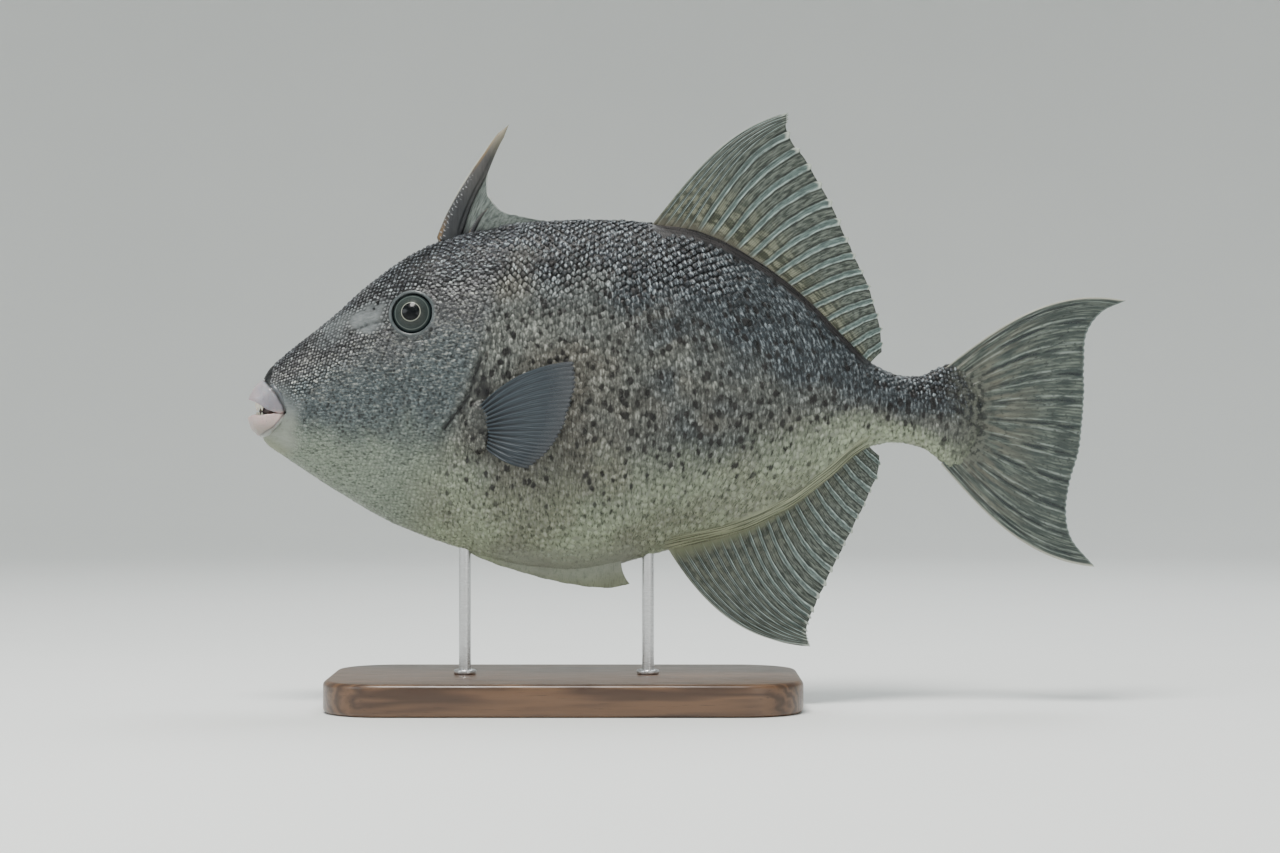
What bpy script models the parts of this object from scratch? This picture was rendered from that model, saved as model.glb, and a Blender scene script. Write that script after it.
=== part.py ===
# Grey triggerfish, life size and swimming, held over a plain display stand by two short rods.
# Units are metres. The snout points to -X, the left side faces -Y and +Z is up.
# The origin is on the floor, under the middle of the fish's length.
# A place on the fish is (distance behind the snout, height above the mouth), as in a side view.

import math
from collections import namedtuple

import bmesh
import bpy
import numpy as np
from mathutils import Matrix, Vector

TOTAL_LENGTH = 0.439  # snout to the tip of the longer tail lobe
MOUTH_HEIGHT = 0.148  # height of the mouth above the floor
GAP = 0.0003  # clearance kept between pieces that touch

# Outlines of the body in the side view
BACK = [
    (0.0045, 0.0100), (0.0070, 0.0165), (0.0090, 0.0202), (0.0120, 0.0230), (0.0216, 0.0312),
    (0.0440, 0.0493), (0.0602, 0.0640), (0.0900, 0.0829), (0.1150, 0.0905), (0.1480, 0.0950),
    (0.2015, 0.0940), (0.2290, 0.0892), (0.2542, 0.0758), (0.2772, 0.0588), (0.2979, 0.0376),
    (0.3162, 0.0213), (0.3340, 0.0173), (0.3530, 0.0235), (0.3620, 0.0170), (0.3685, -0.0010),
]
BELLY = [
    (0.0045, -0.0115), (0.0070, -0.0160), (0.0100, -0.0192), (0.0154, -0.0226), (0.0403, -0.0396),
    (0.0676, -0.0558), (0.0975, -0.0676), (0.1335, -0.0785), (0.1600, -0.0822), (0.1855, -0.0785),
    (0.2106, -0.0711), (0.2474, -0.0614), (0.2703, -0.0505), (0.2933, -0.0332), (0.3093, -0.0195),
    (0.3220, -0.0173), (0.3392, -0.0208), (0.3530, -0.0312), (0.3620, -0.0250), (0.3685, -0.0060),
]

# Sections across the body, as (distance behind the snout, value)
HALF_WIDTH = [
    (0.0045, 0.0066), (0.0120, 0.0090), (0.0220, 0.0112), (0.0500, 0.0185), (0.0800, 0.0243),
    (0.1150, 0.0288), (0.1550, 0.0305), (0.2000, 0.0282), (0.2400, 0.0225), (0.2800, 0.0150),
    (0.3100, 0.0098), (0.3350, 0.0068), (0.3530, 0.0046), (0.3685, 0.0012),
]
WIDEST_LEVEL = [
    (0.0045, -0.0005), (0.0400, 0.0040), (0.0800, 0.0100), (0.1500, 0.0080), (0.2300, 0.0080),
    (0.3000, 0.0030), (0.3685, -0.0035),
]
# How sharp the ridge of a section is: 1 is an ellipse, more is a keel
BACK_SHARPNESS = [(0.0045, 1.0), (0.0600, 0.92), (0.1800, 1.02), (0.2300, 1.25), (0.3100, 1.1), (0.3685, 1.0)]
BELLY_SHARPNESS = [(0.0045, 1.0), (0.0600, 1.15), (0.1500, 1.25), (0.2300, 1.3), (0.3100, 1.1), (0.3685, 1.0)]
BODY_RINGS = 42
BODY_SIDES = 36
RING_CROWDING = 0.8  # 0 spaces the rings evenly, 1 crowds them at both ends

# Thin cuts that part the body, each through two places
HEAD_CUT = ((0.1480, 0.0950), (0.0720, -0.0750))
STALK_CUT = ((0.3105, 0.0300), (0.3105, -0.0300))
TAIL_CUT = ((0.3400, -0.0030), (0.4300, -0.0052))

# Mouth: a notch in the head that holds two lips, each an ellipsoid trimmed to its outline
MOUTH_CORNER = (0.0200, -0.0010)
UPPER_LIP_TOP = (0.0076, 0.0143)
LOWER_LIP_FOOT = (0.0057, -0.0133)
UPPER_LIP_MIDDLE = (0.0130, 0.0030)
UPPER_LIP_RADII = (0.0130, 0.0106, 0.0125)
UPPER_LIP_EDGE = [
    (0.0140, -0.0004), (0.0082, 0.0016), (0.0050, 0.0035), (0.0010, 0.0056), (-0.0100, 0.0060),
]
LOWER_LIP_MIDDLE = (0.0120, -0.0040)
LOWER_LIP_RADII = (0.0120, 0.0100, 0.0105)
LOWER_LIP_EDGE = [
    (0.0140, -0.0022), (0.0055, -0.0030), (0.0030, -0.0026), (0.0010, -0.0034), (-0.0006, -0.0052),
    (-0.0100, -0.0056),
]
PAST_THE_LIPS = 0.030  # well outside the lips, for the far corners of their outlines
MOUTH_HOLLOW_MIDDLE = (0.0092, 0.0006)
MOUTH_HOLLOW_RADII = (0.0066, 0.0058, 0.0050)
TEETH_A_JAW = 6
TOOTH_WIDTH = 0.0022
TOOTH_LENGTH = 0.0056
TOOTH_ROW_MIDDLE = 0.0095
TOOTH_ROW_RADIUS = 0.0052
TOOTH_ROW_SPREAD = math.radians(62)  # to each side of the foremost point
UPPER_TEETH_LEVEL = 0.0046
LOWER_TEETH_LEVEL = -0.0036

# Eyes, nostrils and the grooves of the skin
EYE_PLACE = (0.0832, 0.0476)
EYE_RADIUS = 0.0104
EYE_DEPTH = 0.0064  # half thickness of the eyeball
EYE_SUNK = 0.0034  # how far the eyeball's middle lies below the skin
EYE_TILT_UP = math.radians(11)
EYE_TURN_FORWARD = math.radians(6)
NOSTRILS = [(0.0642, 0.0495), (0.0660, 0.0522)]
NOSTRIL_RADII = (0.0008, 0.0016, 0.0008)
GILL_SLIT = [(0.1168, 0.0236), (0.1134, 0.0152), (0.1114, 0.0068), (0.1082, 0.0022), (0.1010, -0.0080)]
GILL_SLIT_RADII = (0.0005, 0.0010, 0.0012, 0.0010, 0.0004)
EYE_GROOVE = [(0.0730, 0.0440), (0.0680, 0.0440), (0.0620, 0.0425), (0.0550, 0.0395)]
EYE_GROOVE_RADII = (0.0007, 0.0009, 0.0007, 0.0003)

# Fins. A ray and the membrane each have a thickness at the root and one at the edge.
# bows are how far the first and the last ray arch, as shares of their lengths.
Fin = namedtuple("Fin", "rays rows ray membrane bows branched")
SOFT_DORSAL = Fin(27, 7, (0.0024, 0.0010), (0.0012, 0.0005), (0.104, 0.030), False)
ANAL = Fin(25, 7, (0.0024, 0.0010), (0.0012, 0.0005), (-0.128, -0.030), False)
TAIL = Fin(12, 8, (0.0036, 0.0010), (0.0022, 0.0005), (0.105, -0.095), True)
PECTORAL = Fin(14, 6, (0.0022, 0.0009), (0.0012, 0.0005), (0.100, -0.080), False)
PELVIC_FLAP = Fin(6, 4, (0.0050, 0.0016), (0.0042, 0.0010), (0.0, 0.0), False)
SPINE_MEMBRANE = Fin(4, 6, (0.0030, 0.0010), (0.0012, 0.0006), (0.0, 0.0), False)
RAY_TIP = 0.0007  # a ray ends this far past the line of the fin's edge, and the membrane short of it
ROOT_SUNK = 0.0040
ROOT_TAPER = 0.6  # under 1, a fin grows thin faster near its root
RAY_FOOT = 0.27  # from a ray's crest to its foot, in ray spacings
BRANCHED_RAY_FOOT = 0.38
BRANCH_AT_ROOT = 0.07  # from a branched ray's middle to each branch, in ray spacings
BRANCH_AT_EDGE = 0.20
BRANCHING = (0.25, 0.65)  # where a branched ray parts, as shares of its length
VALLEY_OF_BRANCHES = 0.1  # height left between two branches

# Fin edges, from the first ray's tip to the last one's, and the lines that the fins grow from
SOFT_DORSAL_BASE = (0.2055, 0.3085)
SOFT_DORSAL_EDGE = [
    (0.2692, 0.1485), (0.2690, 0.1412), (0.2715, 0.1350), (0.2776, 0.1272), (0.2904, 0.1049),
    (0.3024, 0.0790), (0.3100, 0.0615), (0.3157, 0.0430), (0.3168, 0.0295),
]
ANAL_BASE = (0.2115, 0.3075)
ANAL_EDGE = [
    (0.2800, -0.1178), (0.2782, -0.1105), (0.2800, -0.1030), (0.2872, -0.0861), (0.2955, -0.0683),
    (0.3088, -0.0428), (0.3149, -0.0272), (0.3152, -0.0232),
]
TAIL_ROOT = [(0.3480, 0.0195), (0.3560, 0.0110), (0.3590, -0.0035), (0.3560, -0.0180), (0.3480, -0.0270)]
TAIL_EDGE = [
    (0.4384, 0.0543), (0.4259, 0.0484), (0.4192, 0.0390), (0.4175, 0.0240), (0.4173, 0.0088),
    (0.4162, -0.0065), (0.4147, -0.0198), (0.4110, -0.0330), (0.4085, -0.0500), (0.4106, -0.0627),
    (0.4229, -0.0785),
]
PECTORAL_ROOT = [(0.1165, 0.0010), (0.1200, -0.0060), (0.1215, -0.0130), (0.1205, -0.0190)]
PECTORAL_EDGE = [
    (0.1628, 0.0235), (0.1640, 0.0120), (0.1612, 0.0020), (0.1575, -0.0090), (0.1510, -0.0197),
    (0.1400, -0.0288),
]
PECTORAL_OUT = math.radians(17)  # the fin stands out from the flank by this angle
PECTORAL_CUP = 0.0030
LOBE_PLACE = (0.1165, -0.0090)  # the fleshy lobe that carries the pectoral fin
LOBE_RADII = (0.0068, 0.0042, 0.0125)
LOBE_LEAN = math.radians(-8)
FLAP_ROOT = [(0.1310, -0.0740), (0.1600, -0.0770), (0.1850, -0.0735), (0.1885, -0.0715)]
FLAP_EDGE = [(0.1340, -0.0797), (0.1520, -0.0848), (0.1670, -0.0876), (0.1785, -0.0884), (0.1897, -0.0863)]
MEMBRANE_ROOT = [(0.1050, 0.0850), (0.1115, 0.0870), (0.1250, 0.0890), (0.1480, 0.0930)]
MEMBRANE_EDGE = [
    (0.1188, 0.1205), (0.1194, 0.1118), (0.1206, 0.1066), (0.1230, 0.1016), (0.1260, 0.0988),
    (0.1309, 0.0973), (0.1380, 0.0963), (0.1480, 0.0957),
]

# The stout first spine, from its root to its tip
SPINE_LINE = [
    (0.0965, 0.0780), (0.1016, 0.0902), (0.1040, 0.0974), (0.1088, 0.1093), (0.1147, 0.1189),
    (0.1197, 0.1285), (0.1241, 0.1357), (0.1293, 0.1422),
]
SPINE_RADII = [0.0060, 0.0058, 0.0047, 0.0038, 0.0035, 0.0025, 0.0016, 0.0004]
SPINE_FLATNESS = 0.66
SPINE_RINGS = 14

# Stand
BASE_LENGTH = 0.235
BASE_DEPTH = 0.120
BASE_THICKNESS = 0.016
BASE_CORNER = 0.030
CORNER_STEPS = 6
BASE_EDGE = 0.0025
BASE_MIDDLE = 0.158  # distance behind the snout
ROD_RADIUS = 0.003
ROD_SIDES = 20
ROD_PLACES = {"stand_rod_front": 0.108, "stand_rod_rear": 0.1995}
ROD_CRADLE = 0.0045  # how far a rod's head reaches up past the keel of the belly

# Finishes, as (name, colour, roughness, metallic)
SKIN = ("skin", (0.26, 0.25, 0.23), 0.55, 0.0)
FIN = ("fin", (0.24, 0.26, 0.24), 0.50, 0.0)
DARK_FIN = ("dark_fin", (0.10, 0.11, 0.13), 0.50, 0.0)
SPINE = ("spine", (0.22, 0.20, 0.18), 0.60, 0.0)
LIP = ("lip", (0.60, 0.52, 0.50), 0.40, 0.0)
EYE = ("eye", (0.02, 0.03, 0.03), 0.08, 0.0)
WOOD = ("dark_wood", (0.10, 0.055, 0.03), 0.40, 0.0)
STEEL = ("steel", (0.55, 0.55, 0.56), 0.30, 1.0)

SIDES = {"left": -1, "right": 1}


def blend(a, b, share):
    return a + (b - a) * share


def ease(low, high, value):
    share = min(max((value - low) / (high - low), 0.0), 1.0)
    return share * share * (3 - 2 * share)


def through(knots, values):
    """A smooth function that takes the given values at the given rising knots."""
    knots = np.asarray(knots, float)
    values = np.asarray(values, float)
    slopes = np.gradient(values, knots, axis=0)

    def at(place):
        place = min(max(place, knots[0]), knots[-1])
        left = min(int(np.searchsorted(knots, place, side="right")) - 1, len(knots) - 2)
        span = knots[left + 1] - knots[left]
        s = (place - knots[left]) / span
        ends = (1 + 2 * s) * (1 - s) ** 2 * values[left] + s * s * (3 - 2 * s) * values[left + 1]
        turns = s * (1 - s) ** 2 * slopes[left] - s * s * (1 - s) * slopes[left + 1]
        return ends + span * turns

    return at


def along_fish(points):
    """A value as a smooth function of the distance behind the snout."""
    return through([p[0] for p in points], [p[1] for p in points])


def curve(points):
    """A smooth curve through places, as a function of the share of its length from 0 to 1."""
    points = np.asarray(points, float)
    steps = np.linalg.norm(np.diff(points, axis=0), axis=1)
    knots = np.concatenate([[0.0], np.cumsum(steps)]) / steps.sum()
    return through(knots, points)


back_at = along_fish(BACK)
belly_at = along_fish(BELLY)
half_width_at = along_fish(HALF_WIDTH)
widest_at = along_fish(WIDEST_LEVEL)
back_sharpness_at = along_fish(BACK_SHARPNESS)
belly_sharpness_at = along_fish(BELLY_SHARPNESS)


def new_collection(name):
    made = bpy.data.collections.new(name)
    bpy.context.scene.collection.children.link(made)
    return made


def material(finish):
    name, colour, roughness, metallic = finish
    made = bpy.data.materials.get(name)
    if made is None:
        made = bpy.data.materials.new(name)
        made.use_nodes = True
        shader = made.node_tree.nodes["Principled BSDF"]
        shader.inputs["Base Color"].default_value = (*colour, 1.0)
        shader.inputs["Roughness"].default_value = roughness
        shader.inputs["Metallic"].default_value = metallic
    return made


for old in list(bpy.data.objects):
    bpy.data.objects.remove(old)
parts = new_collection("grey_triggerfish")
cutters = new_collection("cutters")
fish = bpy.data.objects.new("fish", None)
fish.location = (-TOTAL_LENGTH / 2, 0, MOUTH_HEIGHT)
parts.objects.link(fish)


def add_part(name, mesh, finish, parent=fish):
    """A piece of the model. On the fish, its mesh is measured from the snout's tip."""
    obj = bpy.data.objects.new(name, mesh)
    mesh.materials.clear()
    mesh.materials.append(material(finish))
    parts.objects.link(obj)
    obj.parent = parent
    return obj


def add_cutter(name, mesh):
    obj = bpy.data.objects.new(name, mesh)
    obj.hide_render = True
    obj.display_type = "WIRE"
    cutters.objects.link(obj)
    obj.parent = fish
    return obj


def mesh_from(bm, name):
    bmesh.ops.recalc_face_normals(bm, faces=bm.faces)
    mesh = bpy.data.meshes.new(name)
    bm.to_mesh(mesh)
    bm.free()
    return mesh


def evaluated_mesh(obj):
    bpy.context.view_layer.update()
    graph = bpy.context.evaluated_depsgraph_get()
    return bpy.data.meshes.new_from_object(obj.evaluated_get(graph))


def shade(obj):
    obj.data.shade_smooth()
    obj.data.set_sharp_from_angle(angle=math.radians(40))


def loose_parts(mesh):
    """The separate closed surfaces of a mesh, each as a bmesh, largest first."""
    whole = bmesh.new()
    whole.from_mesh(mesh)
    number_of = {}
    count = 0
    for start in whole.verts:
        if start in number_of:
            continue
        number_of[start] = count
        waiting = [start]
        while waiting:
            vert = waiting.pop()
            for edge in vert.link_edges:
                other = edge.other_vert(vert)
                if other not in number_of:
                    number_of[other] = count
                    waiting.append(other)
        count += 1
    numbers = [number_of[vert] for vert in whole.verts]
    found = []
    for wanted in range(count):
        piece = whole.copy()
        strays = [vert for vert, number in zip(piece.verts, numbers) if number != wanted]
        bmesh.ops.delete(piece, geom=strays, context="VERTS")
        found.append(piece)
    whole.free()
    found.sort(key=lambda piece: piece.calc_volume(), reverse=True)
    return found


def combine(obj, others, operation):
    """Cuts or joins an object with others, and keeps its largest closed surface."""
    tools = new_collection("tools")
    for other in others:
        tools.objects.link(other)
    join = obj.modifiers.new("combine", "BOOLEAN")
    join.operation = operation
    join.operand_type = "COLLECTION"
    join.collection = tools
    largest, *scraps = loose_parts(evaluated_mesh(obj))
    for scrap in scraps:
        scrap.free()
    finish = obj.data.materials[0]
    obj.modifiers.clear()
    obj.vertex_groups.clear()
    obj.data = mesh_from(largest, obj.name)
    obj.data.materials.append(finish)
    bpy.data.collections.remove(tools)
    shade(obj)
    return obj


def part_in(obj, tools, names, order):
    """Cuts an object with each of the tools, and makes its largest pieces into parts of their own."""
    for tool in tools:
        cut = obj.modifiers.new(tool.name, "BOOLEAN")
        cut.object = tool
    pieces = sorted(loose_parts(evaluated_mesh(obj))[:len(names)], key=order)
    finish = obj.data.materials[0]
    bpy.data.objects.remove(obj)
    for name, piece in zip(names, pieces):
        made = bpy.data.objects.new(name, mesh_from(piece, name))
        made.data.materials.append(finish)
        parts.objects.link(made)
        made.parent = fish
        shade(made)


def ellipsoid(radii, segments, rings):
    bm = bmesh.new()
    bmesh.ops.create_uvsphere(bm, u_segments=segments, v_segments=rings, radius=1)
    bmesh.ops.scale(bm, vec=radii, verts=bm.verts)
    return bm


def curve_mesh(data, places, radii=None):
    """A curve's closed mesh. Its caps are welded to its sides."""
    spline = data.splines.new("POLY")
    spline.points.add(len(places) - 1)
    for index, place in enumerate(places):
        spline.points[index].co = (*place, 1)
        if radii is not None:
            spline.points[index].radius = radii[index]
    spline.use_cyclic_u = data.dimensions == "2D"
    drawn = bpy.data.objects.new("drawn", data)
    cutters.objects.link(drawn)
    bm = bmesh.new()
    bm.from_mesh(evaluated_mesh(drawn))
    bmesh.ops.remove_doubles(bm, verts=bm.verts, dist=1e-6)
    bpy.data.objects.remove(drawn)
    return bm


def plate(outline, half_depth):
    """A flat outline in X and Y, given a thickness."""
    data = bpy.data.curves.new("plate", "CURVE")
    data.dimensions = "2D"
    data.fill_mode = "BOTH"
    data.extrude = half_depth
    return curve_mesh(data, [(x, y, 0) for x, y in outline])


def tube(points, radii, resolution):
    data = bpy.data.curves.new("tube", "CURVE")
    data.dimensions = "3D"
    data.bevel_depth = 1.0
    data.bevel_resolution = resolution
    data.use_fill_caps = True
    return curve_mesh(data, points, radii)


def prism(name, outline):
    """A cutter: an outline of the side view, drawn out across the fish."""
    bm = plate(outline, PAST_THE_LIPS)
    bmesh.ops.rotate(bm, verts=bm.verts, matrix=Matrix.Rotation(math.pi / 2, 3, "X"))
    return add_cutter(name, mesh_from(bm, name))


def slab(name, line):
    """A cutter as thin as the gap, set across the fish on a line of the side view."""
    top, foot = (Vector((x, 0, z)) for x, z in line)
    bm = bmesh.new()
    bmesh.ops.create_cube(bm, size=1)
    lean = Matrix.Rotation(math.atan2(top.x - foot.x, top.z - foot.z), 4, "Y")
    size = Matrix.Diagonal((GAP, TOTAL_LENGTH / 4, TOTAL_LENGTH * 0.7, 1))
    bmesh.ops.transform(bm, matrix=Matrix.Translation((top + foot) / 2) @ lean @ size, verts=bm.verts)
    return add_cutter(name, mesh_from(bm, name))


def section(x, up):
    """(half width, level of the widest point, rise or drop of the ridge, its sharpness) at a distance."""
    level = widest_at(x)
    if up:
        return half_width_at(x), level, back_at(x) - level, back_sharpness_at(x)
    return half_width_at(x), level, level - belly_at(x), belly_sharpness_at(x)


def body_point(x, angle, grow=0.0):
    """A point of the skin: angle 0 is the left flank, 90 degrees the back and -90 the belly."""
    half_width, level, reach, sharpness = section(x, math.sin(angle) >= 0)
    side = math.copysign(abs(math.cos(angle)) ** sharpness, math.cos(angle))
    return Vector((x, -(half_width + grow) * side, level + (reach + grow) * math.sin(angle)))


def side_of_body(x, height):
    """The half width of the body at a place."""
    half_width, level, reach, sharpness = section(x, height >= widest_at(x))
    share = min(abs(height - level) / reach, 1.0)
    return half_width * math.cos(math.asin(share)) ** sharpness


def whole_body(grow=0.0):
    """The flesh in one piece: a sphere whose rings are set to the body's sections."""
    bm = bmesh.new()
    bmesh.ops.create_uvsphere(bm, u_segments=BODY_SIDES, v_segments=BODY_RINGS, radius=1)
    front = BACK[0][0] - grow
    rear = BACK[-1][0] + grow
    for vert in bm.verts:
        even = math.acos(min(max(vert.co.z, -1), 1)) / math.pi
        crowded = (1 - math.cos(math.pi * even)) / 2
        x = blend(front, rear, blend(even, crowded, RING_CROWDING))
        is_pole = vert.co.xy.length < 1e-5
        if is_pole:
            vert.co = Vector((x, 0, (back_at(x) + belly_at(x)) / 2))
        else:
            vert.co = body_point(x, math.atan2(vert.co.y, vert.co.x), grow)
    return mesh_from(bm, "body")


def eyeball(side, grow=0.0):
    """An eye, flattened and tilted, with its middle just under the skin."""
    x, z = EYE_PLACE
    radius = EYE_RADIUS + grow
    bm = ellipsoid((radius, radius, EYE_DEPTH + grow), 20, 10)
    facing = Matrix.Rotation(-EYE_TURN_FORWARD, 4, "Z") @ Matrix.Rotation(math.pi / 2 - EYE_TILT_UP, 4, "X")
    sunk = facing @ Matrix.Translation((0, 0, -EYE_SUNK))
    placed = Matrix.Translation((x, -side_of_body(x, z), z)) @ sunk
    mirrored = Matrix.Diagonal((1, -side, 1, 1)) @ placed
    bmesh.ops.transform(bm, matrix=mirrored, verts=bm.verts)
    return mesh_from(bm, "eye")


def nostril(side, place):
    x, z = place
    bm = ellipsoid(NOSTRIL_RADII, 8, 6)
    bmesh.ops.translate(bm, vec=(x, side * side_of_body(x, z), z), verts=bm.verts)
    return add_cutter("nostril", mesh_from(bm, "nostril"))


def groove(name, side, line, radii):
    """A cutter that lies half sunk in the skin along a line of the side view."""
    places = [(x, side * side_of_body(x, z), z) for x, z in line]
    return add_cutter(name, mesh_from(tube(places, radii, 1), name))


def mouth_notch():
    corner = Vector(MOUTH_CORNER)
    above = Vector(UPPER_LIP_TOP) - corner
    below = Vector(LOWER_LIP_FOOT) - corner
    return prism("mouth_notch", [
        corner, corner + 2 * above, (-PAST_THE_LIPS, PAST_THE_LIPS), (-PAST_THE_LIPS, -PAST_THE_LIPS),
        corner + 2 * below,
    ])


def flesh():
    """Head, torso and tail stalk: one body, cut for the mouth, eyes, nostrils and gills, and parted."""
    tools = [slab("head_cut", HEAD_CUT), slab("stalk_cut", STALK_CUT), mouth_notch()]
    for side in SIDES.values():
        tools.append(add_cutter("eye_socket", eyeball(side, GAP)))
        tools.append(groove("gill_slit", side, GILL_SLIT, GILL_SLIT_RADII))
        tools.append(groove("eye_groove", side, EYE_GROOVE, EYE_GROOVE_RADII))
        tools += [nostril(side, place) for place in NOSTRILS]
    body = add_part("body", whole_body(), SKIN)
    part_in(body, tools, ("head", "torso", "tail_stalk"), lambda piece: min(v.co.x for v in piece.verts))


def eyes():
    for word, side in SIDES.items():
        shade(add_part(f"eye_{word}", eyeball(side), EYE))


def teeth(level, pointing):
    """The front teeth of a jaw, as cones in an arc. Pointing is -1 for teeth that hang."""
    made = []
    for n in range(TEETH_A_JAW):
        angle = blend(-TOOTH_ROW_SPREAD, TOOTH_ROW_SPREAD, n / (TEETH_A_JAW - 1))
        bm = bmesh.new()
        bmesh.ops.create_cone(
            bm, cap_ends=True, segments=6, radius1=TOOTH_WIDTH / 2, radius2=TOOTH_WIDTH / 5,
            depth=TOOTH_LENGTH,
        )
        bmesh.ops.scale(bm, vec=(1, 1, pointing), verts=bm.verts)
        x = TOOTH_ROW_MIDDLE - TOOTH_ROW_RADIUS * math.cos(angle)
        bmesh.ops.translate(bm, vec=(x, TOOTH_ROW_RADIUS * math.sin(angle), level), verts=bm.verts)
        made.append(add_cutter("tooth", mesh_from(bm, "tooth")))
    return made


def jaw(name, middle, radii, edge, lip_end, tooth_level, pointing):
    """A lip with its row of teeth: an ellipsoid trimmed to the lip's outline and hollowed."""
    corner = Vector(MOUTH_CORNER)
    along_notch = Vector(lip_end) - corner
    off_notch = Vector((-along_notch.y, along_notch.x)).normalized() * GAP * -pointing
    outline = [
        corner + off_notch + along_notch * 0.05, *edge, (-PAST_THE_LIPS, -pointing * PAST_THE_LIPS),
        corner + off_notch + along_notch * 2,
    ]
    bm = ellipsoid(radii, 28, 18)
    bmesh.ops.translate(bm, vec=(middle[0], 0, middle[1]), verts=bm.verts)
    lip = add_part(name, mesh_from(bm, name), LIP)
    combine(lip, [prism("lip_outline", outline)], "INTERSECT")
    bm = ellipsoid(MOUTH_HOLLOW_RADII, 16, 10)
    bmesh.ops.translate(bm, vec=(MOUTH_HOLLOW_MIDDLE[0], 0, MOUTH_HOLLOW_MIDDLE[1]), verts=bm.verts)
    combine(lip, [add_cutter("mouth_hollow", mesh_from(bm, "mouth_hollow"))], "DIFFERENCE")
    combine(lip, teeth(tooth_level, pointing), "UNION")


def jaws():
    jaw("upper_jaw", UPPER_LIP_MIDDLE, UPPER_LIP_RADII, UPPER_LIP_EDGE, UPPER_LIP_TOP, UPPER_TEETH_LEVEL, -1)
    jaw("lower_jaw", LOWER_LIP_MIDDLE, LOWER_LIP_RADII, LOWER_LIP_EDGE, LOWER_LIP_FOOT, LOWER_TEETH_LEVEL, 1)


def ray_columns(fin):
    """The lines that run out along a fin, as (ray, side): 0 its crest, 1 a branch, 2 its foot."""
    sides = (-2, -1, 0, 1, 2) if fin.branched else (-2, 0, 2)
    found = [(ray, side) for ray in range(fin.rays) for side in sides]
    return [c for c in found if not (c[0] == 0 and c[1] < 0) and not (c[0] == fin.rays - 1 and c[1] > 0)]


def column_state(fin, column, out):
    """(place in ray spacings, share of the ray's height) of a column, out along the fin from 0 to 1."""
    ray, side = column
    parted = ease(*BRANCHING, out) if fin.branched else 0.0
    if side == 0:
        is_edge_ray = ray in (0, fin.rays - 1)
        return ray, 1.0 if is_edge_ray else blend(1.0, VALLEY_OF_BRANCHES, parted)
    if abs(side) == 1:
        return ray + side * blend(BRANCH_AT_ROOT, BRANCH_AT_EDGE, parted), 1.0
    return ray + math.copysign(BRANCHED_RAY_FOOT if fin.branched else RAY_FOOT, side), 0.0


def side_view(place, across, out):
    return Vector((place.x, 0, place.y))


def fin_sheet(name, finish, fin, root, edge, in_space=side_view):
    """A fin: a membrane with its rays raised on both faces.

    root and edge give places from the first ray (0) to the last (1). in_space turns
    (place, share across, share out) into a point.
    """
    columns = ray_columns(fin)
    thickest = fin.ray[0]
    bm = bmesh.new()
    bmesh.ops.create_grid(bm, x_segments=len(columns) - 1, y_segments=fin.rows - 1, size=1)
    thickness = []
    for vert in bm.verts:
        column = columns[round((vert.co.x + 1) / 2 * (len(columns) - 1))]
        out = (vert.co.y + 1) / 2
        spacing, crest = column_state(fin, column, out)
        across = spacing / (fin.rays - 1)
        start = Vector(root(across))
        end = Vector(edge(across))
        end += (end - start).normalized() * RAY_TIP * (2 * crest - 1)
        chord = end - start
        arch = Vector((-chord.y, chord.x)) * blend(*fin.bows, across) * 4 * out * (1 - out)
        vert.co = in_space(start + chord * out + arch, across, out)
        thinning = out ** ROOT_TAPER
        thickness.append(blend(blend(*fin.membrane, thinning), blend(*fin.ray, thinning), crest))
    bmesh.ops.triangulate(bm, faces=bm.faces)
    obj = add_part(name, mesh_from(bm, name), finish)
    group = obj.vertex_groups.new(name="thickness")
    for index, size in enumerate(thickness):
        group.add([index], size / thickest, "REPLACE")
    shell = obj.modifiers.new("thickness", "SOLIDIFY")
    shell.thickness = thickest
    shell.offset = 0
    shell.vertex_group = group.name
    return obj


def ridge_root(base, ridge_at, sunk):
    """The line that a fin on the back or the belly grows from, below the skin."""
    def root(across):
        x = blend(*base, across)
        return x, ridge_at(x) + sunk
    return root


def soft_dorsal_fin(flesh_room):
    root = ridge_root(SOFT_DORSAL_BASE, back_at, -ROOT_SUNK)
    fin = fin_sheet("soft_dorsal_fin", FIN, SOFT_DORSAL, root, curve(SOFT_DORSAL_EDGE))
    combine(fin, [flesh_room], "DIFFERENCE")


def anal_fin(flesh_room):
    root = ridge_root(ANAL_BASE, belly_at, ROOT_SUNK)
    fin = fin_sheet("anal_fin", FIN, ANAL, root, curve(ANAL_EDGE))
    combine(fin, [flesh_room], "DIFFERENCE")


def tail_fin(flesh_room):
    """The tail fin, parted along its middle so that each lobe is a piece of its own."""
    fin = fin_sheet("tail_fin", FIN, TAIL, curve(TAIL_ROOT), curve(TAIL_EDGE))
    combine(fin, [flesh_room], "DIFFERENCE")
    names = ("tail_fin_lower", "tail_fin_upper")
    part_in(fin, [slab("tail_cut", TAIL_CUT)], names, lambda lobe: max(v.co.z for v in lobe.verts))


def pelvic_flap(flesh_room):
    flap = fin_sheet("pelvic_flap", SKIN, PELVIC_FLAP, curve(FLAP_ROOT), curve(FLAP_EDGE))
    combine(flap, [flesh_room], "DIFFERENCE")


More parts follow.
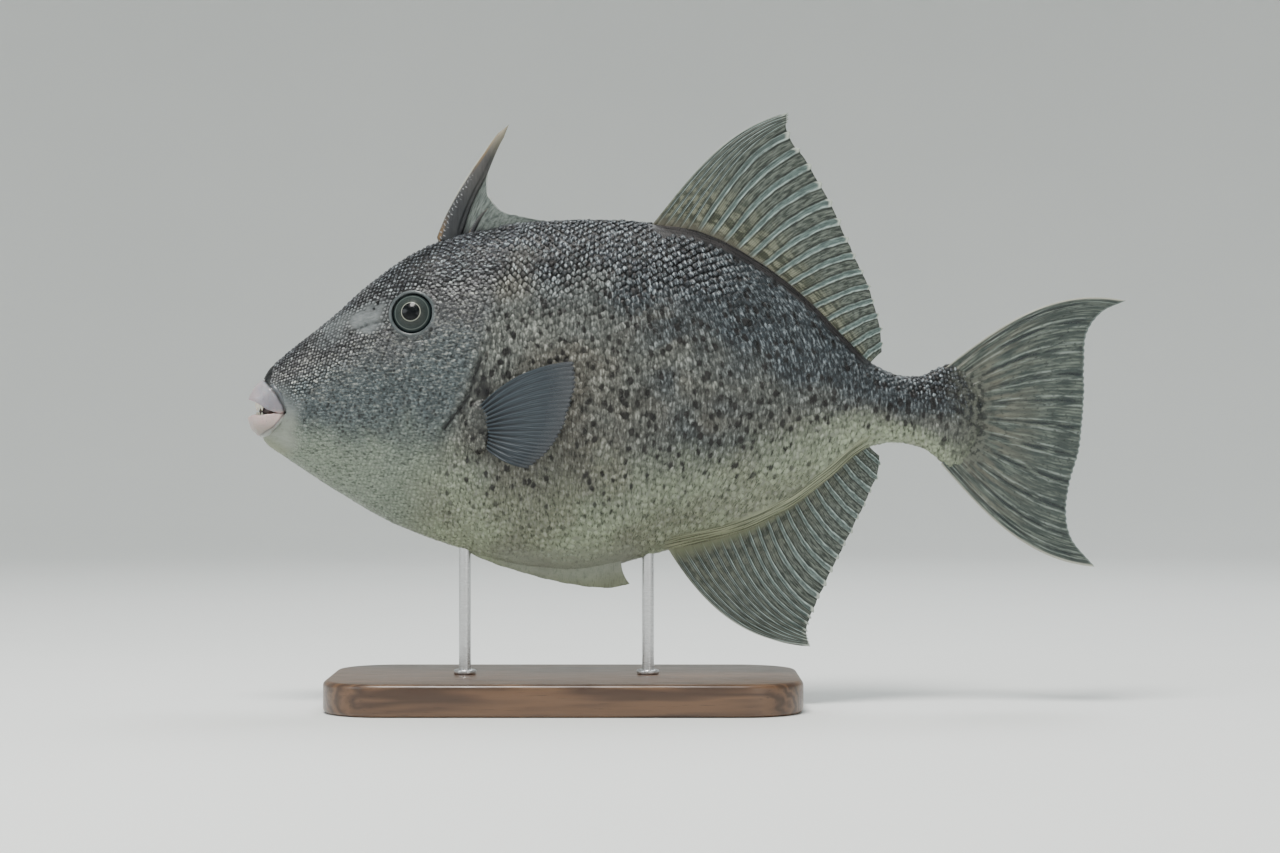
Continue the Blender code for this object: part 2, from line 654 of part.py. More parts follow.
def pectoral_fin(word, side, flesh_room):
    """A side fin on its fleshy lobe. It stands out from the flank and is cupped towards it."""
    lobe_x, lobe_z = LOBE_PLACE
    flank = side_of_body(lobe_x, lobe_z)

    def in_space(place, across, out):
        reach = place.x - lobe_x
        cup = PECTORAL_CUP * 4 * across * (1 - across) * out
        return Vector((place.x, side * (flank + reach * math.tan(PECTORAL_OUT) + cup), place.y))

    root, edge = curve(PECTORAL_ROOT), curve(PECTORAL_EDGE)
    fin = fin_sheet(f"pectoral_fin_{word}", DARK_FIN, PECTORAL, root, edge, in_space)
    bm = ellipsoid(LOBE_RADII, 16, 10)
    bmesh.ops.rotate(bm, verts=bm.verts, matrix=Matrix.Rotation(LOBE_LEAN, 3, "Y"))
    bmesh.ops.translate(bm, vec=(lobe_x, side * flank, lobe_z), verts=bm.verts)
    combine(fin, [add_cutter("lobe", mesh_from(bm, "lobe"))], "UNION")
    combine(fin, [flesh_room], "DIFFERENCE")


def first_spine(grow=0.0):
    line = curve(SPINE_LINE)
    radius = through(np.linspace(0, 1, len(SPINE_RADII)), SPINE_RADII)
    shares = [n / (SPINE_RINGS - 1) for n in range(SPINE_RINGS)]
    points = [(line(s)[0], 0, line(s)[1]) for s in shares]
    bm = tube(points, [radius(s) + grow / SPINE_FLATNESS for s in shares], 3)
    bmesh.ops.scale(bm, vec=(1, SPINE_FLATNESS, 1), verts=bm.verts)
    return mesh_from(bm, "spine")


def spiny_dorsal_fin(flesh_room):
    """The stout first spine, and behind it the membrane with the two small spines."""
    membrane = fin_sheet("spine_membrane", FIN, SPINE_MEMBRANE, curve(MEMBRANE_ROOT), curve(MEMBRANE_EDGE))
    combine(membrane, [add_cutter("spine_room", first_spine(GAP))], "DIFFERENCE")
    combine(membrane, [flesh_room], "DIFFERENCE")
    combine(add_part("trigger_spine", first_spine(), SPINE), [flesh_room], "DIFFERENCE")


def base_outline():
    """A rectangle with round corners, drawn anticlockwise."""
    corners = []
    for turn, (to_x, to_y) in enumerate(((1, 1), (-1, 1), (-1, -1), (1, -1))):
        middle_x = to_x * (BASE_LENGTH / 2 - BASE_CORNER)
        middle_y = to_y * (BASE_DEPTH / 2 - BASE_CORNER)
        for step in range(CORNER_STEPS + 1):
            angle = math.pi / 2 * (turn + step / CORNER_STEPS)
            corners.append((
                middle_x + BASE_CORNER * math.cos(angle), middle_y + BASE_CORNER * math.sin(angle),
            ))
    return corners


def stand(flesh_room):
    """A wooden base, and two rods whose heads are hollowed to the belly."""
    board = mesh_from(plate(base_outline(), BASE_THICKNESS / 2), "stand_base")
    base = add_part("stand_base", board, WOOD, parent=None)
    base.location = (BASE_MIDDLE - TOTAL_LENGTH / 2, 0, BASE_THICKNESS / 2)
    rounding = base.modifiers.new("rounded_edge", "BEVEL")
    rounding.width = BASE_EDGE
    rounding.segments = 2
    rounding.angle_limit = math.radians(60)
    foot = BASE_THICKNESS + GAP - MOUTH_HEIGHT
    for name, x in ROD_PLACES.items():
        head = belly_at(x) + ROD_CRADLE
        bm = bmesh.new()
        bmesh.ops.create_cone(
            bm, cap_ends=True, segments=ROD_SIDES, radius1=ROD_RADIUS, radius2=ROD_RADIUS,
            depth=head - foot,
        )
        bmesh.ops.translate(bm, vec=(x, 0, (head + foot) / 2), verts=bm.verts)
        combine(add_part(name, mesh_from(bm, name), STEEL), [flesh_room], "DIFFERENCE")


def main():
    flesh_room = add_cutter("flesh_room", whole_body(GAP))
    flesh()
    jaws()
    eyes()
    spiny_dorsal_fin(flesh_room)
    soft_dorsal_fin(flesh_room)
    anal_fin(flesh_room)
    tail_fin(flesh_room)
    pelvic_flap(flesh_room)
    for word, side in SIDES.items():
        pectoral_fin(word, side, flesh_room)
    stand(flesh_room)


main()
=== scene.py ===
# %% [markdown]
# # A grey triggerfish on its display stand
# This file dresses a life-size model of a grey triggerfish. The solids come first, already packed as a
# fixed frame in metres: the snout points to -X, the left side faces -Y and +Z is up. Each step below
# makes one piece of the real animal, or one finish, around those solids.

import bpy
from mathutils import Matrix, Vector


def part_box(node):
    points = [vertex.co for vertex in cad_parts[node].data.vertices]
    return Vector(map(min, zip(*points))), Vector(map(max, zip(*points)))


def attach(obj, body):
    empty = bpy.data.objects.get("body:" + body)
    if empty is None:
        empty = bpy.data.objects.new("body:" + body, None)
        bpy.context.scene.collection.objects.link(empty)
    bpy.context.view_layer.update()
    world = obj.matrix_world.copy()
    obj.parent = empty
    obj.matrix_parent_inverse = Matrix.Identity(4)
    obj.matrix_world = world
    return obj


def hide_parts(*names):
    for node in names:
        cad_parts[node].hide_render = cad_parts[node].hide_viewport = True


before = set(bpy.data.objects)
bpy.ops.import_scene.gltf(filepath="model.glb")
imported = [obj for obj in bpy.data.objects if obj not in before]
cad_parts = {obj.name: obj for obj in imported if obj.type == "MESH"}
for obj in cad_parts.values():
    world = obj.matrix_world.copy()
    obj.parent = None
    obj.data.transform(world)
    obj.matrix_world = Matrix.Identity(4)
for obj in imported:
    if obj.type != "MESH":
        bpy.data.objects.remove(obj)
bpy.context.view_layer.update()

import math

import bmesh
import bpy
import numpy as np
from mathutils import Matrix, Vector
from mathutils.bvhtree import BVHTree

print("nodes:", sorted(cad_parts))

# %% [markdown]
# ## Camera
# The fish is seen from its left side, level with its middle. An 80 mm lens at 1.42 m gives half a
# millimetre to each pixel of a 1280 pixel wide picture, on the plane that halves the fish.

# %% Camera
LENS = 80
SENSOR = 36
VIEW_DISTANCE = 1.4222
VIEW_MIDDLE = Vector((-0.0240, 0, 0.13975))

bpy.ops.object.camera_add(location=VIEW_MIDDLE - Vector((0, VIEW_DISTANCE, 0)), rotation=(math.pi / 2, 0, 0))
camera = bpy.context.object
camera.data.lens = LENS
camera.data.sensor_width = SENSOR
bpy.context.scene.camera = camera
print("the picture is", round(VIEW_DISTANCE * SENSOR / LENS, 3), "m wide at the fish")

# %% [markdown]
# ## Small helpers
# Modelling by hand is mostly the same few moves: select one thing alone, run an operator on it, and
# apply its modifiers. Written once, they keep the steps below short.


# %% Helpers for modelling
def alone(obj):
    """Selects one object and nothing else."""
    bpy.ops.object.select_all(action="DESELECT")
    obj.select_set(True)
    bpy.context.view_layer.objects.active = obj
    return obj


def new_piece(name):
    """Names the primitive that was just added, and puts its place into its mesh."""
    piece = alone(bpy.context.object)
    piece.name = piece.data.name = name
    bpy.ops.object.transform_apply(location=True, rotation=True, scale=True)
    return piece


def modify(piece, kind, **settings):
    """Adds a modifier and applies it at once."""
    alone(piece)
    made = piece.modifiers.new(kind.lower(), kind)
    for setting, value in settings.items():
        setattr(made, setting, value)
    bpy.ops.object.modifier_apply(modifier=made.name)
    return piece


def edit(piece, choose, kind, *steps):
    """Selects vertices, edges or faces by a rule, and runs the given steps on them in edit mode."""
    alone(piece)
    bpy.ops.object.mode_set(mode="EDIT")
    bpy.ops.mesh.select_mode(type=kind)
    bpy.ops.mesh.select_all(action="DESELECT")
    bm = bmesh.from_edit_mesh(piece.data)
    for element in {"VERT": bm.verts, "EDGE": bm.edges, "FACE": bm.faces}[kind]:
        element.select_set(bool(choose(element)))
    bm.select_flush_mode()
    bmesh.update_edit_mesh(piece.data)
    for step in steps:
        step()
    bpy.ops.object.mode_set(mode="OBJECT")
    return piece


def places_of(piece):
    """The vertices of a piece as rows of x, y and z."""
    found = np.empty(len(piece.data.vertices) * 3)
    piece.data.vertices.foreach_get("co", found)
    return found.reshape(-1, 3)


def normals_of(piece):
    found = np.empty(len(piece.data.vertices) * 3)
    piece.data.vertex_normals.foreach_get("vector", found)
    return found.reshape(-1, 3)


def put_places(piece, places):
    piece.data.vertices.foreach_set("co", np.ascontiguousarray(places, np.float32).ravel())
    piece.data.update()


def put_values(piece, name, values):
    """Stores a number, or a row of three, for each vertex, so that a material can read it."""
    values = np.asarray(values, np.float32)
    kind, field = ("FLOAT", "value") if values.ndim == 1 else ("FLOAT_VECTOR", "vector")
    made = piece.data.attributes.new(name, kind, "POINT")
    made.data.foreach_set(field, values.ravel())


def finish_piece(piece, material, nodes=()):
    """Gives a finished piece its material, hangs it under the empty body:root and hides the solids that it stands for.
    """
    piece.data.materials.clear()
    piece.data.materials.append(material)
    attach(piece, "root")
    if nodes:
        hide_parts(*nodes)
    print(piece.name, "has", sum(len(face.vertices) - 2 for face in piece.data.polygons), "triangles")
    return piece


# %% [markdown]
# Shapes of living things are mostly soft steps and soft hills. Each is a small formula that works on
# whole rows of numbers at once, so that a change to ninety thousand vertices is one line.


# %% Helpers for soft forms
SNOUT_X = -0.2195
MOUTH_Z = 0.148


def on_fish(points):
    """Places given as distance behind the snout and height above the mouth, in the frame's X and Z."""
    return np.asarray(points, float) + [SNOUT_X, MOUTH_Z]


def ramp(value, low, high):
    """0 below low, 1 above high, and a soft step between."""
    share = np.clip((np.asarray(value, float) - low) / (high - low), 0, 1)
    return share * share * (3 - 2 * share)


def hill(distance, width):
    """1 at the middle, fading to nothing past the width."""
    return np.exp(-((np.asarray(distance, float) / width) ** 2))


def blend(a, b, share):
    return a + (b - a) * share


def steady_noise(places, size, seed):
    """Smooth random values between -1 and 1, the same on each run, with features of the given size."""
    draw = np.random.default_rng(seed)
    total = np.zeros(len(places))
    for wave in range(14):
        way = draw.normal(size=3)
        way *= 2 * math.pi / (size * draw.uniform(1.2, 3.0)) / np.linalg.norm(way)
        total += np.sin(places @ way + draw.uniform(0, 2 * math.pi))
    return np.clip(total / 4.5, -1, 1)


def curve_through(points):
    """A smooth curve through places in the side view, as a function of the share of its length."""
    points = np.asarray(points, float)
    steps = np.linalg.norm(np.diff(points, axis=0), axis=1)
    knots = np.concatenate([[0.0], np.cumsum(steps)]) / steps.sum()
    slopes = np.gradient(points, knots, axis=0)

    def at(share):
        share = np.clip(np.atleast_1d(share), 0, 1)
        left = np.clip(np.searchsorted(knots, share, side="right") - 1, 0, len(knots) - 2)
        span = (knots[left + 1] - knots[left])[:, None]
        s = (share - knots[left])[:, None] / span
        ends = (1 + 2 * s) * (1 - s) ** 2 * points[left] + s * s * (3 - 2 * s) * points[left + 1]
        turns = s * (1 - s) ** 2 * slopes[left] - s * s * (1 - s) * slopes[left + 1]
        return ends + span * turns

    return at


def from_line(places, line):
    """How far places are from a line of the side view, and on which side of it: positive is behind."""
    flat = places[:, [0, 2]]
    nearest = np.full(len(flat), 1e9)
    signed = np.full(len(flat), 1e9)
    for start, end in zip(np.asarray(line[:-1]), np.asarray(line[1:])):
        way = end - start
        share = np.clip((flat - start) @ way / (way @ way), 0, 1)
        gap = flat - (start + share[:, None] * way)
        distance = np.linalg.norm(gap, axis=1)
        side = np.sign(gap @ np.array([-way[1], way[0]]))
        closer = distance < nearest
        nearest[closer] = distance[closer]
        signed[closer] = (distance * side)[closer]
    return signed


# %% [markdown]
# ## Studio
# The floor and the background are one pale sheet, like a photographer's cove. It runs all the way
# round, so that the fish can be looked at from any side. It is a short line of vertices, spun into a
# wide shallow bowl.

# %% Studio bowl
FLOOR_RADIUS = 1.7
COVE_RADIUS = 1.3
WALL_TOP = 3.2
COVE_STEPS = 16

bpy.ops.mesh.primitive_circle_add(vertices=96, radius=FLOOR_RADIUS, fill_type="NGON")
studio = new_piece("studio_bowl")
rim = [
    (FLOOR_RADIUS + COVE_RADIUS * math.sin(turn), COVE_RADIUS * (1 - math.cos(turn)))
    for turn in np.linspace(0, math.pi / 2, COVE_STEPS + 1)[1:]
] + [(FLOOR_RADIUS + COVE_RADIUS, WALL_TOP)]


def raise_rim():
    reach, height = FLOOR_RADIUS, 0.0
    for next_reach, next_height in rim:
        bpy.ops.mesh.extrude_region_move(TRANSFORM_OT_translate={"value": (0, 0, next_height - height)})
        growth = next_reach / reach
        bpy.ops.transform.resize(value=(growth, growth, 1), center_override=(0, 0, 0))
        reach, height = next_reach, next_height


edit(studio, lambda edge: edge.is_boundary, "EDGE", raise_rim)
edit(studio, lambda face: True, "FACE", lambda: bpy.ops.mesh.normals_make_consistent(inside=True))
studio.data.shade_smooth()
print("the bowl is", 2 * (FLOOR_RADIUS + COVE_RADIUS), "m wide")

# %% [markdown]
# ## Light
# A fish in clear shallow water is lit by a broad sky above it and by pale sand below it. Large soft
# boxes do the same here: a strong one above and a little in front, a cool one at the head, a wide weak
# one for the shadows, and a dim world for the rest.

# %% Lights
LIGHTS = {
    "sky_box": ((-0.30, -0.62, 1.65), (-0.28, -0.50, 0.0), 0.62, 38, (1.0, 0.98, 0.94)),
    "head_box": ((-1.6, -0.9, 0.9), (0.0, 0.0, 0.15), 0.8, 8, (0.90, 0.96, 1.0)),
    "rim_box": ((0.4, 0.8, 1.6), (0.2, 0.35, 0.0), 1.0, 17, (0.95, 0.98, 1.0)),
    "fill_box": ((0.9, -1.6, 0.52), (0.0, 0.0, 0.15), 0.8, 4, (1.0, 0.99, 0.95)),
}

for name, (place, aim, size, watts, colour) in LIGHTS.items():
    bpy.ops.object.light_add(type="AREA", location=place)
    box = bpy.context.object
    box.name = name
    box.data.shape = "DISK"
    box.data.size = size
    box.data.energy = watts
    box.data.color = colour
    box.visible_camera = False
    box.rotation_euler = (Vector(aim) - Vector(place)).to_track_quat("-Z", "Y").to_euler()

world = bpy.data.worlds.new("studio_air")
world.use_nodes = True
world.node_tree.nodes["Background"].inputs["Color"].default_value = (0.86, 0.93, 0.95, 1)
world.node_tree.nodes["Background"].inputs["Strength"].default_value = 0.42
bpy.context.scene.world = world
print(len(LIGHTS), "soft boxes")

# %% [markdown]
# ## Building materials from nodes
# A material is a small network. These helpers add a node, feed its sockets by name and hand back its
# output, so that a network reads like a formula.


# %% Node helpers
def add(tree, kind, output=0, settings=None, **feeds):
    """Adds a node. Feeds name its sockets, with _ for a space, or _N for the socket's number."""
    made = tree.nodes.new("ShaderNode" + kind)
    for setting, value in (settings or {}).items():
        setattr(made, setting, value)
    for socket_name, value in feeds.items():
        number = socket_name[1:] if socket_name[0] == "_" else ""
        socket = made.inputs[int(number)] if number.isdigit() else made.inputs[socket_name.replace("_", " ")]
        if isinstance(value, bpy.types.NodeSocket):
            tree.links.new(value, socket)
        else:
            socket.default_value = (*value, 1.0) if socket.type == "RGBA" and len(value) == 3 else value
    return made.outputs[output]


def maths(tree, operation, a, b=0.0, clamp=False):
    return add(tree, "Math", settings={"operation": operation, "use_clamp": clamp}, _0=a, _1=b)


def step(tree, value, low, high, bottom=0.0, top=1.0):
    """A soft step from one value to another."""
    kind = {"interpolation_type": "SMOOTHSTEP"}
    return add(tree, "MapRange", settings=kind, _0=value, _1=low, _2=high, _3=bottom, _4=top)


def mix(tree, share, a, b, way="MIX"):
    """Mixes two colours."""
    return add(tree, "Mix", 2, {"data_type": "RGBA", "blend_type": way, "clamp_factor": True}, _0=share, _6=a, _7=b)


def stored(tree, name, output="Fac"):
    """A value that was stored on the piece's vertices."""
    return add(tree, "Attribute", output, {"attribute_name": name})


def noise(tree, place, scale, detail=3.0, roughness=0.55):
    return add(tree, "TexNoise", "Fac", Vector=place, Scale=scale, Detail=detail, Roughness=roughness)


def stretched(tree, place, scale, turn=(0, 0, 0)):
    return add(tree, "Mapping", Vector=place, Scale=scale, Rotation=turn)


def new_group(name, inputs, outputs):
    """A node group with named sockets, and its tree, input node and output node."""
    tree = bpy.data.node_groups.new(name, "ShaderNodeTree")
    for socket_name, kind, value in inputs:
        socket = tree.interface.new_socket(socket_name, in_out="INPUT", socket_type="NodeSocket" + kind)
        if value is not None:
            socket.default_value = value
    for socket_name, kind in outputs:
        tree.interface.new_socket(socket_name, in_out="OUTPUT", socket_type="NodeSocket" + kind)
    return tree, tree.nodes.new("NodeGroupInput").outputs, tree.nodes.new("NodeGroupOutput").inputs


def use_group(tree, group, output, **feeds):
    made = tree.nodes.new("ShaderNodeGroup")
    made.node_tree = group
    for socket_name, value in feeds.items():
        socket = made.inputs[socket_name]
        if isinstance(value, bpy.types.NodeSocket):
            tree.links.new(value, socket)
        else:
            socket.default_value = (*value, 1.0) if socket.type == "RGBA" else value
    return made.outputs if output is None else made.outputs[output]


def new_material(name, roughness, **constants):
    """A material, its tree and its shader's inputs. Constants are set on the shader itself."""
    material = bpy.data.materials.new(name)
    material.use_nodes = True
    inputs = material.node_tree.nodes["Principled BSDF"].inputs
    inputs["Roughness"].default_value = roughness
    for socket_name, value in constants.items():
        inputs[socket_name.replace("_", " ")].default_value = value
    return material, material.node_tree, inputs


def bump(tree, inputs, height, strength, distance):
    bumped = add(tree, "Bump", Height=height, Strength=strength, Distance=distance)
    tree.links.new(bumped, inputs["Normal"])


# %% [markdown]
# ## Floor finish
# The studio sheet is matt, pale and very slightly uneven, like painted plaster.

# %% Floor finish
studio_paint, tree, inputs = new_material("studio_paint", 0.85)
place = add(tree, "TexCoord", "Object")
tree.links.new(mix(tree, noise(tree, place, 3.0), (0.78, 0.80, 0.79), (0.83, 0.845, 0.835)), inputs["Base Color"])
bump(tree, inputs, noise(tree, place, 60.0, 5.0), 0.05, 0.002)
studio.data.materials.append(studio_paint)

# %% [markdown]
# ## Skin
# On the real fish one tough hide covers head, trunk and tail without a seam. The solids are parted by
# thin cuts, so copies of them are swollen by a hair until they overlap, joined, and cast again as one
# even net of small squares. Smoothing then takes away the flat facets, gently near the eyes, the mouth
# and the gill slits, where the form has to stay crisp.

# %% Cast the flesh in one piece
FLESH = ["head", "torso", "tail_stalk"]
SWELLING = 0.00035
NET = 0.00117
COAT_DEPTH = 0.0005

flesh = bmesh.new()
for node in FLESH:
    flesh.from_mesh(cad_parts[node].data)
bmesh.ops.remove_doubles(flesh, verts=flesh.verts, dist=1e-6)
flesh.normal_update()
for vert in flesh.verts:
    vert.co += vert.normal * SWELLING
skin = bpy.data.objects.new("skin", bpy.data.meshes.new("skin"))
bpy.context.scene.collection.objects.link(skin)
flesh.to_mesh(skin.data)
flesh.free()
modify(skin, "REMESH", mode="VOXEL", voxel_size=NET, use_smooth_shade=True)
print("the skin is a net of", len(skin.data.vertices), "vertices")

# %% Places on the head
eye_low, eye_high = (np.array(corner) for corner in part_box("eye_left"))
EYE_MIDDLE = (eye_low + eye_high) / 2
EYE_RADIUS = (eye_high[0] - eye_low[0]) / 2
EYE_TILT_UP = math.radians(11)
EYE_TURN_FORWARD = math.radians(6)
EYE_AXIS = np.array([
    -math.sin(EYE_TURN_FORWARD), -math.cos(EYE_TURN_FORWARD) * math.cos(EYE_TILT_UP), math.sin(EYE_TILT_UP),
])
GILL_SLIT = [(-0.1020, 0.1730), (-0.1055, 0.1640), (-0.1078, 0.1550), (-0.1113, 0.1500), (-0.1205, 0.1385)]
EYE_GROOVE = [(-0.1440, 0.1912), (-0.1515, 0.1918), (-0.1580, 0.1903), (-0.1665, 0.1865)]
NOSTRILS = [(-0.1556, 0.1980), (-0.1538, 0.2010)]
MOUTH_CORNER = (-0.1995, 0.1470)
PECTORAL_LOBE = (-0.1030, 0.1390)
print("the eye is", round(EYE_RADIUS * 2000, 1), "mm wide")


# %% Smooth the net
def from_eye(places):
    """How far places are from the axis of the eye on their own side."""
    middle = EYE_MIDDLE * [1, -1, 1]
    axis = EYE_AXIS * [1, -1, 1]
    gap = places * [1, 1, 1]
    gap[:, 1] = np.abs(gap[:, 1])
    gap = gap - middle
    along = gap @ axis
    return np.linalg.norm(gap - along[:, None] * axis, axis=1), along


places = places_of(skin)
slit_distance = np.abs(from_line(places, GILL_SLIT))
freedom = (
    ramp(from_eye(places)[0], 0.012, 0.022) * ramp(places[:, 0], -0.200, -0.180)
    * ramp(slit_distance, 0.001, 0.007) * (1 - ramp(places[:, 0], 0.085, 0.120))
)
even = skin.vertex_groups.new(name="even")
for index, weight in enumerate(0.10 + 0.90 * freedom):
    even.add([index], weight, "REPLACE")
modify(skin, "SMOOTH", factor=0.5, iterations=5)
modify(skin, "SMOOTH", factor=0.5, iterations=49, vertex_group="even")
skin.vertex_groups.clear()

# %% [markdown]
# The details of the hide are then pushed into it like a sculptor would: the swollen rim of the eye,
# the groove in front of it, the nostrils, the loose edge of the gill cover with the hollow behind it,
# shallow folds on the cheek, and the low walls of scaly skin that the back fins fold into.

# %% Sculpt the skin
RIDGE_WALL = 0.0012
SOFT_FIN_BASE = (-0.0140, 0.0890)

places = places_of(skin)
normals = normals_of(skin)
slit = from_line(places, GILL_SLIT)
eye_distance, eye_along = from_eye(places)
near_eye = eye_along > -0.012
flat = places[:, [0, 2]]

rise = np.full(len(places), -SWELLING - COAT_DEPTH)
rise += 0.00075 * hill(eye_distance - EYE_RADIUS - 0.0011, 0.0011) * near_eye
rise -= 0.00055 * hill(eye_distance - EYE_RADIUS - 0.0040, 0.0014) * near_eye
rise -= 0.0007 * hill(np.abs(from_line(places, EYE_GROOVE)), 0.0008)
rise += 0.0004 * hill(from_line(places, EYE_GROOVE) + 0.0016, 0.0012)
for nostril in NOSTRILS:
    rise -= 0.0012 * hill(np.linalg.norm(flat - nostril, axis=1), 0.0009)
rise -= 0.0016 * hill(slit, 0.0008)
rise += 0.0008 * hill(slit + 0.0024, 0.0022) * (np.abs(slit) < 0.02)
rise -= 0.0016 * hill(np.linalg.norm((flat - [-0.0985, 0.1575]) / [0.8, 1.3], axis=1), 0.0062)
lobe = np.linalg.norm((flat - PECTORAL_LOBE) / [0.0072, 0.0130], axis=1)
rise += 0.0034 * np.sqrt(np.clip(1 - lobe ** 2, 0, 1)) - 0.0005 * hill(lobe - 1.05, 0.10)
cheek = hill(np.linalg.norm((flat - [-0.138, 0.155]) / [1.0, 1.3], axis=1), 0.026)
rise += 0.00035 * cheek * np.sin((flat[:, 0] + 0.35 * (flat[:, 1] - 0.15)) / 0.0011)
rise += 0.0003 * steady_noise(places, 0.012, 3) * ramp(places[:, 0], -0.19, -0.16)
sides = np.abs(normals[:, 1])
for low, high, across in ((0.205, 0.310, 1), (0.211, 0.308, -1)):
    inside = ramp(places[:, 0] - SNOUT_X, low, low + 0.01) * (1 - ramp(places[:, 0] - SNOUT_X, high - 0.01, high))
    rise += 0.0004 * inside * hill(sides - 0.35, 0.18) * (np.sign(normals[:, 2]) == across)
put_places(skin, places + normals * rise[:, None])
modify(skin, "SMOOTH", factor=0.5, iterations=1)
skin.data.shade_smooth()
print("the skin rises and falls by", round((rise.max() - rise.min()) * 1000, 1), "mm")

# %% [markdown]
# ## Where the markings lie
# The colours follow the body: dark on the back, pale under the belly, blue-grey and finely grained on
# the face. The skin and its scales have to agree about this, so the same function tells both, for any
# place on the fish, how high up the side it is and which kind of skin it is. The results are stored on
# the vertices and read by the material.

# %% Outline of the skin
skin_tree = BVHTree.FromObject(skin, bpy.context.evaluated_depsgraph_get())
outline_x = np.linspace(-0.212, 0.146, 120)
BEYOND = 0.4


def outline_at(x, way):
    """The height of the back (way 1) or the belly (way -1) at a distance along the fish."""
    hit = skin_tree.ray_cast(Vector((x, 0, 0.15 + way * BEYOND)), Vector((0, 0, -way)))[0]
    return hit.z if hit else 0.15


outline_back = np.array([outline_at(x, 1) for x in outline_x])
outline_belly = np.array([outline_at(x, -1) for x in outline_x])
print("the body is", round((outline_back - outline_belly).max() * 1000), "mm deep")


# %% Marks for any place on the fish
DARK_BACK_X = [-0.21, -0.15, -0.09, -0.04, 0.00, 0.08, 0.12, 0.15]
DARK_BACK_LEVEL = [0.93, 0.92, 0.86, 0.80, 0.66, 0.52, 0.50, 0.55]
SADDLES = [
    (-0.006, 0.192, 0.024, 0.030), (-0.007, 0.166, 0.017, 0.018), (0.010, 0.141, 0.026, 0.015), (0.058, 0.184, 0.032, 0.022),
]
BARE_PATCH = (-0.1585, 0.1930)
LIPS_MIDDLE = (-0.2070, 0.1450)
SPINE_RECESS = (-0.1005, 0.2388)
LIP_LINE = [(-0.2135, 0.1650), (-0.2083, 0.1602), (-0.2041, 0.1551), (-0.2012, 0.1501), (-0.2003, 0.1468)]
CHIN_LINE = [(-0.2003, 0.1468), (-0.2058, 0.1397), (-0.2140, 0.1350)]
FOLDS = {"dorsal": (0.1970, 0.3110, 0.0058), "anal": (0.2050, 0.3110, 0.0078)}


